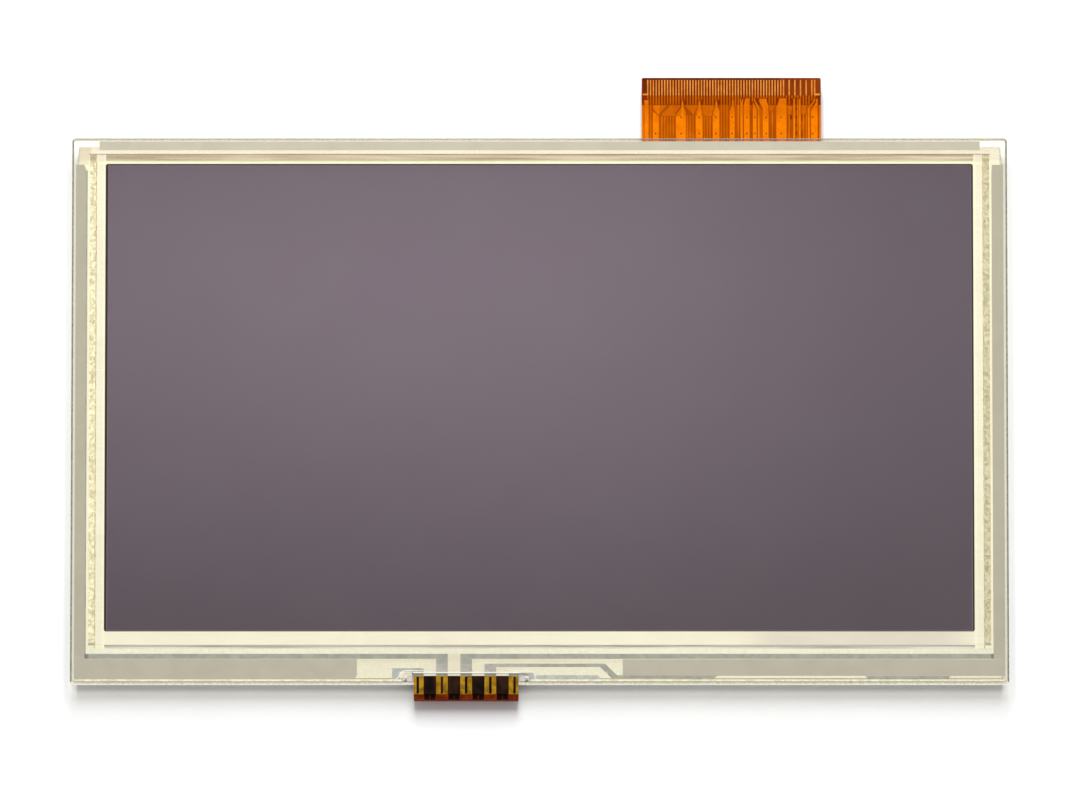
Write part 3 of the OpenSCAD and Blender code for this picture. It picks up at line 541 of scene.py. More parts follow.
@dataclass(frozen=True)
class Moulding(TwoTone):
    """Moulded or die-cut plastic with a fine spark texture."""

    rough: float = 0.5
    grain_mm: float = 0.25
    relief: float = 0.25
    drift_mm: float = 18.0

    def material(self) -> Material:
        """Material with a fine texture and a slow drift of tone."""
        g = Graph(self.name)
        texture = g.grain(self.grain_mm, 3.0)
        drift = g.grain(self.drift_mm, 3.0)
        tone = g.span(g.calc("ADD", texture, drift), 0.7, 1.3)
        return g.done(g.solid(
            Base_Color=self.tones(g, tone),
            Roughness=g.about(texture, self.rough, 0.05, 0.08),
            Normal=g.relief(texture, 0.02, self.relief),
        ))


@dataclass(frozen=True)
class CellFace:
    """Polarizer face over the switched-off liquid crystal cell."""

    name: str
    middle: Colour
    shaded_foot: Colour
    border: Colour
    hairline: Colour
    window_x: Span = (-76.38, 76.38)
    window_y: Span = (-40.1, 45.66)
    hairline_mm: float = 0.32
    border_mm: float = 0.2
    fade_mm: float = 0.06
    drift_mm: float = 90.0
    speck_mm: float = 0.09

    def material(self) -> Material:
        """Material with a hard matt coat, a slow drift of tint, painted light and shade across the
        face and a painted shadow line along the window's edge.
        """
        g = Graph(self.name)
        drift = g.grain(self.drift_mm, 2.0)
        speck = g.grain(self.speck_mm, 2.0)
        up = g.along(Axis.Y)
        # Painted light and shade: lighter in the upper middle and on the left, darker towards the
        # near edge and the right side.
        rise = g.calc("MULTIPLY", g.span(up, -0.062, 0.026), g.span(up, 0.024, 0.05, 1.0, 0.8))
        left = g.span(g.along(Axis.X), -0.085, -0.02, 0.8, 1.0)
        right = g.span(g.along(Axis.X), -0.01, 0.085, 1.0, 0.42)
        tone = g.calc("MULTIPLY", rise, g.calc("MULTIPLY", left, right))
        tone = g.calc("MULTIPLY", tone, g.about(drift, 1.0, 0.03, 0.03))
        colour = g.blend(tone, self.shaded_foot, self.middle)
        (left_mm, right_mm), (low_mm, high_mm) = self.window_x, self.window_y
        # The dark border is a painted shadow line where the bezel's edge meets the cell; the
        # hairline inside it is a little lighter.
        for inset, shade in ((self.hairline_mm, self.hairline), (self.border_mm, self.border)):
            across = g.zone(Axis.X, left_mm + inset, right_mm - inset, self.fade_mm)
            upward = g.zone(Axis.Y, low_mm + inset, high_mm - inset, self.fade_mm)
            colour = g.blend(g.calc("MULTIPLY", across, upward), shade, colour)
        return g.done(g.solid(
            Base_Color=colour,
            Roughness=g.about(speck, 0.4, 0.06, 0.06),
            Specular_IOR_Level=0.1,
            Normal=g.relief(speck, 0.004, 0.1),
        ))


@dataclass(frozen=True)
class FlexFilm(TwoTone):
    """Polyimide film: glossy amber to brown, darker where it is thick."""

    rough: float = 0.3
    lines: float = 0.0
    flow_mm: float = 2.4
    gloss: float = 0.08
    line_mm: float = 0.1

    def material(self) -> Material:
        """Material with flow marks and, on request, faint lines along the flex."""
        g = Graph(self.name)
        flow = g.grain(self.flow_mm, 4.0, (1.0, 0.5, 1.0), 0.5)
        fine = g.grain(self.line_mm, 2.0, (1.0, 0.04, 1.0))
        tone = g.calc("ADD", flow, g.calc("MULTIPLY", fine, self.lines))
        tone = g.span(tone, 0.35, 0.7 + self.lines)
        return g.done(g.solid(
            Base_Color=self.tones(g, tone),
            Roughness=self.rough,
            Specular_IOR_Level=self.gloss,
            Coat_Weight=0.03,
            Coat_Roughness=0.12,
            Normal=g.relief(flow, 0.02, 0.2),
        ))


@dataclass(frozen=True)
class Plating(TwoTone):
    """Gold-plated or coverlaid copper."""

    rough: float = 0.32
    metal: float = 0.8
    stain_mm: float = 1.3
    grain_mm: float = 0.07

    def material(self) -> Material:
        """Material with plating stains, a fine grain and toned patches."""
        g = Graph(self.name)
        stain = g.grain(self.stain_mm, 4.0, warp=0.7)
        fine = g.grain(self.grain_mm, 2.0)
        tone = g.span(stain, LOW_NOISE, HIGH_NOISE)
        return g.done(g.solid(
            Base_Color=self.tones(g, tone),
            Metallic=self.metal,
            Roughness=g.about(fine, self.rough, 0.06, 0.1),
            Specular_IOR_Level=0.2,
            Normal=g.relief(fine, 0.006, 0.3),
        ))


def dress(finish: TwoTone | CellFace, *nodes: str) -> None:
    """Gives CAD nodes a finish.

    Args:
        finish: Finish to give them.
        *nodes: Names of the nodes.
    """
    material = finish.material()
    for name in nodes:
        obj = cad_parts[name]
        if not obj.material_slots:
            obj.data.materials.append(material)
        for slot in obj.material_slots:
            slot.material = material
        LOG.info("dressed %s", name)


def let_light_by(*pieces: Piece) -> None:
    """Keeps thin prints inside the clear stack from shading what lies below them.

    Args:
        *pieces: Objects of the prints.
    """
    for piece in pieces:
        piece.visible_shadow = False
        piece.visible_diffuse = False


def placed(name: str, mesh: Mesh, *finishes: Material) -> Piece:
    """Turns a bmesh into an object of the scene.

    Args:
        name: Name of the object.
        mesh: Its shape, freed here.
        *finishes: Its materials.

    Returns:
        The new object.
    """
    data = bpy.data.meshes.new(name)
    mesh.to_mesh(data)
    mesh.free()
    for finish in finishes:
        data.materials.append(finish)
    piece = bpy.data.objects.new(name, data)
    bpy.context.scene.collection.objects.link(piece)
    LOG.info("made %s with %d faces", name, len(data.polygons))
    return piece


def new_piece(name: str, mesh: Mesh, slot: str, *finishes: Material) -> Piece:
    """Makes a piece that rides with the module.

    Args:
        name: Name of the piece.
        mesh: Its shape.
        slot: Not used.
        *finishes: Its materials, those of its edges last.

    Returns:
        The new piece.
    """
    piece = placed(name, mesh, *finishes)
    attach(piece, "root")
    return piece


def merged_copy(node: str) -> Mesh:
    """Copy of a CAD node's mesh with its loose triangles joined into whole faces."""
    mesh = bmesh.new()
    mesh.from_mesh(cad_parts[node].data)
    bmesh.ops.remove_doubles(mesh, verts=mesh.verts, dist=WELD)
    bmesh.ops.dissolve_limit(mesh, angle_limit=MERGE_ANGLE, verts=mesh.verts, edges=mesh.edges)
    return mesh


def squeeze(mesh: Mesh, below: float = SKIN, above: float = 0.0) -> None:
    """Moves the lower and upper faces of a flat piece off its neighbours' faces.

    Args:
        mesh: Flat mesh.
        below: Distance to lift the lower face.
        above: Distance to drop the upper face.
    """
    heights = [v.co.z for v in mesh.verts]
    middle = (min(heights) + max(heights)) / 2
    for v in mesh.verts:
        v.co.z += below if v.co.z < middle else -above


def mark_edges(mesh: Mesh, ends: bool = False) -> None:
    """Gives the faces that aren't level the second material.

    Args:
        mesh: Mesh to mark.
        ends: Whether the near edge takes a third material and the far edge a fourth.
    """
    mesh.normal_update()
    for face in mesh.faces:
        face.material_index = int(abs(face.normal.z) < FLAT)
        if ends and face.material_index and abs(face.normal.y) > ENDWISE:
            face.material_index = 2 if face.normal.y < 0 else 3


def eased(mesh: Mesh, width: float, steps: int = 2, lower: bool = True) -> None:
    """Rounds the edges where a level face meets an upright one.

    Args:
        mesh: Mesh to change.
        width: Width of the bevel in metres.
        steps: Number of segments.
        lower: Whether to round the lower rim too.
    """
    mesh.normal_update()
    rims = []
    for edge in mesh.edges:
        heights = [face.normal.z for face in edge.link_faces]
        if len(heights) == 2 and min(map(abs, heights)) < UPRIGHT:
            if max(heights) > LEVEL or lower and min(heights) < -LEVEL:
                rims.append(edge)
    bmesh.ops.bevel(
        mesh, geom=rims, offset=width, segments=steps, profile=0.5, affect="EDGES",
        clamp_overlap=True, material=-1,
    )


def rounded(path: list[Vector], rounds: int = 2) -> list[Vector]:
    """Cuts the corners of a path until it bends softly.

    Args:
        path: Points of the path.
        rounds: Number of times to cut the corners.

    Returns:
        Points of the softer path, with the same ends.
    """
    for _ in range(rounds):
        cut = [path[0]]
        for start, end in zip(path, path[1:]):
            cut += [start.lerp(end, 0.25), start.lerp(end, 0.75)]
        path = [*cut, path[-1]]
    return path


def station(path: list[Vector], share: float) -> tuple[Vector, Vector]:
    """Point on a path and the direction across it.

    Args:
        path: Points of the path.
        share: How far along the path, from 0 to 1.

    Returns:
        The point and a level unit vector across the path.
    """
    left = share * sum((end - start).length for start, end in zip(path, path[1:]))
    for start, end in zip(path, path[1:]):
        leg = (end - start).length
        if left <= leg or end is path[-1]:
            break
        left -= leg
    forward = (end - start).normalized()
    return start + forward * min(left, leg), Vector((-forward.y, forward.x, 0))


@dataclass(frozen=True)
class Strip:
    """Section of a ribbon and how far its sides stray, in metres."""

    width: float
    height: float
    stray: float


def ribbon(path: list[Vector], strip: Strip, seed: float) -> Mesh:
    """Flat strip with ragged sides, such as a line of squeezed-out adhesive.

    Args:
        path: Its middle line, at its lower face.
        strip: Its section.
        seed: Offset into the noise, different for each strip.

    Returns:
        The strip.
    """
    length = sum((end - start).length for start, end in zip(path, path[1:]))
    steps = max(12, round(length / STEP))
    mesh = bmesh.new()
    bmesh.ops.create_grid(mesh, x_segments=steps, y_segments=1, size=0.5)
    for v in mesh.verts:
        side = 1 if v.co.y > 0 else -1
        share = v.co.x + 0.5
        place = share * length / MM
        stray = noise.noise(Vector((place * 0.9, side * 7.3, seed)))
        stray += 0.5 * noise.noise(Vector((place * 2.6, side * 3.1, seed + 5)))
        point, across = station(path, share)
        v.co = point + across * (side * strip.width / 2 + stray * strip.stray)
    top = bmesh.ops.extrude_face_region(mesh, geom=mesh.faces[:])
    for item in top["geom"]:
        if isinstance(item, bmesh.types.BMVert):
            item.co.z += strip.height
    bmesh.ops.recalc_face_normals(mesh, faces=mesh.faces)
    return mesh


@dataclass
class TouchPanel:
    """Film, printed silver, adhesive ring and glass of the resistive touch panel."""

    arris: float = 0.26 * MM
    film_edge: float = 0.04 * MM
    ring_stray: float = 0.12 * MM
    ring_waves: float = 900.0
    ring_cuts: int = 240
    ring_run: float = 5 * MM
    ring_side: float = 3.5 * MM
    ring_foot: float = 6.5 * MM
    ring_reach: float = 4.6 * MM
    bead_inset: float = 4.0 * MM
    bead: Strip = Strip(0.16 * MM, 0.1 * MM, 0.06 * MM)
    band: Strip = Strip(0.95 * MM, 0.02 * MM, 0.03 * MM)
    band_reach: float = 0.2 * MM
    wing: Strip = Strip(1.1 * MM, 0.03 * MM, 0.05 * MM)
    line: Strip = Strip(0.1 * MM, 0.03 * MM, 0.02 * MM)
    ring_lift: float = 0.04 * MM
    notch_lift: float = 0.004 * MM
    wing_x: tuple[tuple[str, float], ...] = (("left", -22.75), ("right", -3.05))
    wing_y: float = -49.05
    notch_lines: tuple[tuple[str, float, tuple[Span, ...]], ...] = (
        ("ring", 0.14, ((-25.34, -49.6), (-25.27, -49.41), (-24.64, -48.53), (-24.18, -47.72),
                        (-23.3, -47.61), (-20.49, -47.61))),
        ("notch", 0.1, ((-23.85, -49.6), (-23.83, -48.9), (-23.48, -48.4), (-22.43, -48.32))),
        ("ring", 0.13, ((-5.38, -47.68), (-2.04, -47.68), (-1.05, -47.87), (-0.77, -48.53),
                       (-0.7, -49.3), (-0.28, -49.6))),
        ("notch", 0.1, ((-4.4, -48.34), (-2.88, -48.34), (-2.21, -48.5), (-1.97, -49.04),
                         (-1.95, -49.6))),
        ("ring", 0.24, ((-22.2, -47.98), (-3.4, -47.98))),
    )
    bar_painted_light: Patches = (
        Patch((1.2, 1.2, 1.23), y=(47.0, 50.0)),  # far bar, painted light: lighter where the key light falls
        Patch((1.05, 1.05, 1.08), y=(-50.0, -45.0)),  # near bar, painted light: a little lighter
    )
    upright_y: Span = (-42.6, 45.4)
    bus_painted_light_and_shade: Patches = (
        Patch((1.21, 1.28, 1.27), x=(-80.0, -77.0), y=(-42.6, 45.4)),  # left upright, painted light
        Patch((0.86, 0.91, 0.9), x=(77.0, 80.0), y=(-42.6, 45.4)),  # right upright, painted shade
        Patch((0.8, 0.77, 0.74), y=(45.4, 47.2)),  # far bus, painted shade
        Patch((0.72, 0.66, 0.64), y=(46.75, 47.2), soft_mm=0.15),  # painted shade along its far rim
        Patch((0.92, 1.0, 1.2), y=(-44.0, -42.6)),  # near bus, bluer
        Patch((0.6, 0.6, 0.6), y=(-43.3, -42.6), soft_mm=0.1),  # painted shade along its far rim
    )
    trace_tones_and_painted_shade: Patches = (
        Patch((0.55, 0.58, 0.66), x=(-80.6, -79.3), y=(-46.4, -44.6), soft_mm=0.3),  # left end, painted shade in the lower inner corner
        Patch((0.55, 0.58, 0.66), x=(79.3, 80.6), y=(-46.4, -44.6), soft_mm=0.3),  # right end, painted shade in the lower inner corner
        Patch((1.2, 1.13, 1.2), x=(-21, -2), y=(-48.0, -46.4)),  # leads into the tail
        Patch((1.32, 1.36, 1.5), x=(-30, -22.4), y=(-50.2, -47.4)),  # left of the notch
        Patch((1.32, 1.36, 1.5), x=(-3.7, 12), y=(-50.2, -47.8)),  # right of the notch
    )

    def build(self) -> None:
        """Makes the clear layers and dresses the printed silver."""
        self.make_film()
        self.make_glass()
        self.make_ring()
        self.make_beads()
        self.make_band()
        self.make_notch_lines()
        ink = SilverInk(
            "silver_ink", srgb(180, 175, 161), srgb(187, 182, 168), 4.5, patches=self.bar_painted_light
        )
        dress(ink, "film_silver")
        bus = SilverInk(
            "bus_silver", srgb(172, 158, 132), srgb(238, 228, 206), 0.8, 0.1, 0.55, 0.4,
            self.upright_y, patches=self.bus_painted_light_and_shade,
        )
        dress(bus, "bus_bars")
        trace = SilverInk(
            "trace_silver", srgb(152, 155, 154), srgb(176, 178, 176), 1.4,
            patches=self.trace_tones_and_painted_shade,
        )
        dress(trace, "glass_traces")
        let_light_by(*(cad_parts[n] for n in ("film_silver", "bus_bars", "glass_traces")))

    def make_film(self) -> None:
        """Makes the flexible top film with softened cut edges."""
        mesh = merged_copy("touch_film")
        squeeze(mesh)
        eased(mesh, self.film_edge)
        mark_edges(mesh)
        clear = ClearSheet("top_film", (0.997, 0.994, 0.972), Face.COATED, 0.08, 0.003)
        edge = CutEdge("film_edge", srgb(168, 166, 146), srgb(190, 188, 168), 0.6)
        piece = new_piece("top_film", mesh, "clear_film", clear.material(), edge.material())
        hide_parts("touch_film")

    def make_glass(self) -> None:
        """Makes the touch glass with ground arrises."""
        mesh = merged_copy("touch_glass")
        squeeze(mesh, SKIN, SKIN)
        eased(mesh, self.arris, 1)
        mark_edges(mesh, ends=True)
        clear = ClearSheet("panel_glass", (0.994, 0.994, 0.984), Face.BONDED, 0.03)
        # Painted light and shade: the one ground edge takes three tones by the way it faces, darker
        # at the sides and lightest at the near end, which also has a painted glow.
        side = CutEdge("glass_side", srgb(126, 119, 98), srgb(158, 152, 130), 0.9)
        near = CutEdge("glass_near", srgb(226, 224, 204), srgb(242, 240, 226), 0.85, 0.3)
        far = CutEdge("glass_far", srgb(200, 198, 182), srgb(216, 214, 198), 0.25)
        finishes = (sheet.material() for sheet in (clear, side, near, far))
        piece = new_piece("panel_glass", mesh, "clear_glass", *finishes)
        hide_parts("touch_glass")

    def make_ring(self) -> None:
        """Makes the adhesive ring with a ragged inner edge."""
        mesh = merged_copy("spacer_ring")
        low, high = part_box("spacer_ring")
        inner = [
            e for e in mesh.edges
            if e.calc_length() > self.ring_run
            and all(self.inside(v.co, low, high) for v in e.verts)
        ]
        bmesh.ops.subdivide_edges(mesh, edges=inner, cuts=self.ring_cuts)
        for v in mesh.verts:
            if self.inside(v.co, low, high):
                stray = noise.noise(Vector((*(v.co.xy * self.ring_waves), 3.0)))
                away = Vector((-1 if v.co.x < 0 else 1, 0, 0))
                if abs(v.co.x) < high.x - self.ring_reach:
                    away = Vector((0, -1 if v.co.y < 0 else 1, 0))
                v.co += away * stray * self.ring_stray
        squeeze(mesh, SKIN, SKIN)
        mark_edges(mesh)
        glue = Adhesive(
            "ring_adhesive", (0.996, 0.995, 0.98), srgb(250, 244, 224), srgb(226, 217, 190),
            0.0, 0.03, frosted_y=(-51.0, -49.25),
        )
        edge = CutEdge("adhesive_edge", srgb(196, 182, 140), srgb(232, 222, 186), 0.6)
        piece = new_piece("adhesive_ring", mesh, "adhesive", glue.material(), edge.material())
        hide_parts("spacer_ring")

    def inside(self, place: Vector, low: Vector, high: Vector) -> bool:
        """Whether a point lies on the ring's inner border."""
        return (
            low.x + self.ring_side < place.x < high.x - self.ring_side
            and low.y + self.ring_foot < place.y < high.y - self.ring_side
        )

    def make_beads(self) -> None:
        """Makes the darker beads of adhesive along the ring's inner edge."""
        low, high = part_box("spacer_ring")
        bottom, top = (corner.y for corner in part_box("bus_bars"))
        z = low.z + 2 * SKIN
        glue = SilverInk(
            "bead_adhesive", srgb(150, 132, 96), srgb(214, 198, 158), 0.5, 0.0, 0.4, 0.5
        ).material()
        left, right = low.x + self.bead_inset, high.x - self.bead_inset
        for name, x, seed in (("left", left, 1.0), ("right", right, 9.0)):
            path = [Vector((x, bottom, z)), Vector((x, top, z))]
            mesh = ribbon(path, self.bead, seed)
            let_light_by(new_piece(f"edge_bead_{name}", mesh, "adhesive", glue))

    def make_band(self) -> None:
        """Makes the insulating coat between the lower bus bar and the traces."""
        low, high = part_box("bus_bars")
        y, z = low.y - self.band.width / 2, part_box("glass_traces")[0].z
        path = [Vector((x, y, z)) for x in (low.x - self.band_reach, high.x + self.band_reach)]
        mesh = ribbon(path, self.band, 4.0)
        coat = Moulding("insulating_coat", srgb(220, 219, 209), srgb(231, 230, 220), 0.45, 0.8)
        let_light_by(new_piece("insulating_band", mesh, "silver_ink", coat.material()))

    def make_notch_lines(self) -> None:
        """Makes the pale lines of adhesive that run round the notch for the tail."""
        levels = {
            "ring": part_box("spacer_ring")[0].z + self.ring_lift,
            "notch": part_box("touch_glass")[1].z + self.notch_lift,
        }
        glue = Adhesive(
            "notch_adhesive", (0.99, 0.99, 0.985), srgb(252, 251, 246), srgb(240, 238, 230),
            0.6, 0.62,
        ).material()
        for count, (level, width, points) in enumerate(self.notch_lines):
            path = rounded([Vector((x * MM, y * MM, levels[level])) for x, y in points])
            mesh = ribbon(path, replace(self.line, width=width * MM), 11.0 + count)
            let_light_by(new_piece(f"notch_line_{count + 1}", mesh, "adhesive", glue))
        wet = Moulding("wing_adhesive", srgb(190, 180, 168), srgb(208, 198, 186), 0.4).material()
        half, y, z = self.wing.width / 2, self.wing_y * MM, levels["notch"]
        for side, x in self.wing_x:
            path = [Vector((x * MM - half, y, z)), Vector((x * MM + half, y, z))]
            mesh = ribbon(path, self.wing, 21.0 + x)
            let_light_by(new_piece(f"bond_wing_{side}", mesh, "adhesive", wet))


class DisplayCell:
    """Liquid crystal cell with its polarizers, chips and tape."""

    def build(self) -> None:
        """Dresses the cell's layers."""
        # The second colour is the painted shade at the foot and right side; the third is the
        # painted shadow line along the window's edge.
        face = CellFace(
            "cell_face", srgb(113, 102, 118), srgb(80, 72, 83), srgb(62, 47, 45),
            srgb(114, 106, 122),
        )
        dress(face, "front_polarizer", "rear_polarizer")
        glass = Moulding("cell_glass", srgb(92, 104, 104), srgb(120, 134, 132), 0.15, 4.0, 0.02)
        dress(glass, "filter_glass", "tft_glass")
        dress(Moulding("cell_seal", srgb(180, 174, 150), srgb(206, 200, 178), 0.4), "cell_seal")
        die = Moulding("silicon", srgb(38, 38, 44), srgb(62, 62, 70), 0.2, 1.5, 0.05)
        dress(die, "driver_chips")
        tape = Moulding("black_tape", srgb(16, 16, 17), srgb(32, 32, 33), 0.7, 0.3, 0.3)
        dress(tape, "cell_tape")


class Backlight:
    """Light guide, optical films and LED strip."""

    def build(self) -> None:
        """Dresses the backlight's pieces."""
        film = Moulding("optical_film", srgb(200, 206, 212), srgb(226, 230, 234), 0.25, 0.2, 0.2)
        dress(film, "upper_prism_sheet", "lower_prism_sheet", "diffuser_sheet")
        acrylic = Moulding("acrylic", srgb(206, 222, 224), srgb(226, 238, 238), 0.12, 6.0, 0.02)
        dress(acrylic, "light_guide")
        white = Moulding("white_film", srgb(236, 236, 236), srgb(248, 248, 248), 0.3)
        dress(white, "reflector_sheet")
        dress(FlexFilm("strip_flex", srgb(190, 120, 30), srgb(224, 158, 60)), "led_flex")
        dress(Moulding("led_package", srgb(232, 220, 140), srgb(248, 242, 190), 0.4), "leds")


@dataclass
class Case:
    """Steel bezel and rear plate, moulded frame and the tape between bezel and glass."""

    window_x: Span = (-76.5 * MM, 76.5 * MM)
    window_y: Span = (-40.1 * MM, 45.6 * MM)
    cut_radius: float = 1.0 * MM
    pressed_radius: float = 0.4 * MM
    left_stretch: float = 0.1 * MM
    rim_round: float = 0.08 * MM
    rim_painted_highlights: Patches = (
        # Painted highlight along the window's rim.
        Patch((1.04, 1.08, 1.04), x=(-77.0, -76.4)),
        Patch((1.04, 1.08, 1.04), x=(76.4, 77.0)),
        Patch((1.04, 1.08, 1.04), y=(45.55, 46.1)),
    )
    painted_shade_ends: Patches = (
        Patch((0.88, 0.88, 0.91), y=(-55.0, -44.0)),  # near end, painted shade
        Patch((0.93, 0.9, 0.95), y=(46.2, 55.0)),  # far end, painted shade
    )
    painted_shade_near_right: Patches = (
        # Painted shade: darker towards the near right, and very slightly in a strip left of the
        # middle of the near end.
        Patch((0.85, 0.82, 0.86), x=(38, 75), y=(-60, -30), soft_mm=9.0),
        Patch((0.99, 0.97, 0.99), x=(-19, -11), y=(-60, -30), soft_mm=5.0),
    )
    tape_patch: Patch = Patch((0.86, 0.83, 0.78), x=(-84.0, -79.2), y=(45.4, 48.5))

    def build(self) -> None:
        """Dresses the case's pieces."""
        zinc = SheetSteel("rear_zinc", srgb(190, 192, 194), srgb(204, 206, 208), 0.4, 0.3, 0.6)
        dress(zinc, "rear_plate")
        plastic = Moulding("frame_plastic", srgb(214, 211, 202), srgb(232, 229, 220), 0.5)
        dress(plastic, "mold_frame")
        self.make_bezel()
        self.make_gasket()

    def sharpen_window(self, mesh: Mesh) -> None:
        """Tightens the corners of the window and moves its left edge out a little.

        Args:
            mesh: Mesh of the bezel.
        """
        (left, right), (bottom, top) = self.window_x, self.window_y
        for v in mesh.verts:
            inward = Vector((-1 if v.co.x > 0 else 1, -1 if v.co.y > 0 else 1, 0))
            corner = Vector((right if v.co.x > 0 else left, top if v.co.y > 0 else bottom, 0))
            flat = Vector((v.co.x, v.co.y, 0))
            centre = corner + inward * self.cut_radius
            away = flat - centre
            at_corner = away.x * inward.x <= WELD and away.y * inward.y <= WELD
            if at_corner and abs(away.length - self.cut_radius) < 2 * HAIR:
                moved = corner + (inward + away.normalized()) * self.pressed_radius
                v.co.x, v.co.y = moved.x, moved.y
            if left - HAIR < v.co.x < 0 and bottom - HAIR < v.co.y < top + HAIR:
                v.co.x -= self.left_stretch

    def make_bezel(self) -> None:
        """Makes the steel bezel with pressed, slightly rounded rims."""
        mesh = merged_copy("bezel")
        self.sharpen_window(mesh)
        eased(mesh, self.rim_round, lower=False)
        steel = SheetSteel(
            "bezel_steel", srgb(242, 237, 221), srgb(249, 245, 232), 0.42, metal=0.2,
            patches=(*self.rim_painted_highlights, *self.painted_shade_ends, *self.painted_shade_near_right),
        )
        # Painted shade: the upright walls take a darker copy of the steel.
        side = SheetSteel("bezel_side", srgb(168, 167, 162), srgb(192, 191, 186), 0.4)
        mesh.normal_update()
        for face in mesh.faces:
            upright = abs(face.normal.z) < STEEP
            face.material_index = int(upright and not self.in_window(face.calc_center_median()))
        piece = new_piece("steel_bezel", mesh, "bezel_steel", steel.material(), side.material())
        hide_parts("bezel")

    def in_window(self, place: Vector) -> bool:
        """Whether a point lies on or inside the rim of the viewing window."""
        (left, right), (bottom, top) = self.window_x, self.window_y
        return left - MM < place.x < right + MM and bottom - MM < place.y < top + MM

    def make_gasket(self) -> None:
        """Makes the white tape ring, a hair below the glass."""
        mesh = merged_copy("panel_gasket")
        squeeze(mesh, SKIN, SKIN)
        tape = Moulding(
            "white_tape", srgb(232, 228, 216), srgb(244, 241, 230), 0.7, 0.4, 0.3,
            patches=(*self.painted_shade_ends, self.tape_patch),
        )
        piece = new_piece("tape_ring", mesh, "white_tape", tape.material())
        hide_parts("panel_gasket")


@dataclass
class TouchTail:
    """Folded tail of the touch panel."""

    window_x: tuple[float, ...] = (-19.27, -15.02, -10.77, -6.52)
    window_half: float = 1.0
    window_y: Span = (-52.47, -51.2)
    window_z: Span = (2.9, 4.6)
    prong_half: float = 0.07
    prong_y: Span = (-52.44, -51.95)
    prong_z: Span = (3.1, 4.3)

    def build(self) -> None:
        """Dresses the tail's layers."""
        # Painted shade: the amber-brown film is darkened almost to black, standing in for the shade
        # that shows through it.
        dress(FlexFilm("tail_film", srgb(14, 7, 4), srgb(52, 28, 14), 0.25), "touch_tail")
        gold = Plating("tail_gold", srgb(150, 104, 8), srgb(208, 160, 40), 0.35, 0.6)
        dress(gold, "tail_pads", "tail_contacts")
        black, bright, half, thin = (0.04,) * 3, (18.0,) * 3, self.window_half, self.prong_half
        # Painted shade: black squares on the fold below the gaps between the pads, where the shade
        # behind the film shows through.
        painted_shade_squares = [
            Patch(black, (x - half, x + half), self.window_y, self.window_z) for x in self.window_x
        ]
        prongs = [
            Patch(bright, (x - thin, x + thin), self.prong_y, self.prong_z) for x in self.window_x
        ]
        cover = FlexFilm(
            "tail_cover", srgb(108, 34, 0), srgb(148, 57, 2), 0.3, flow_mm=1.2,
            gloss=0.01, patches=(*painted_shade_squares, *prongs),
        )
        dress(cover, "tail_coverlay")
        dress(FlexFilm("tail_stiff", srgb(176, 100, 20), srgb(206, 130, 36), 0.4), "tail_stiffener")


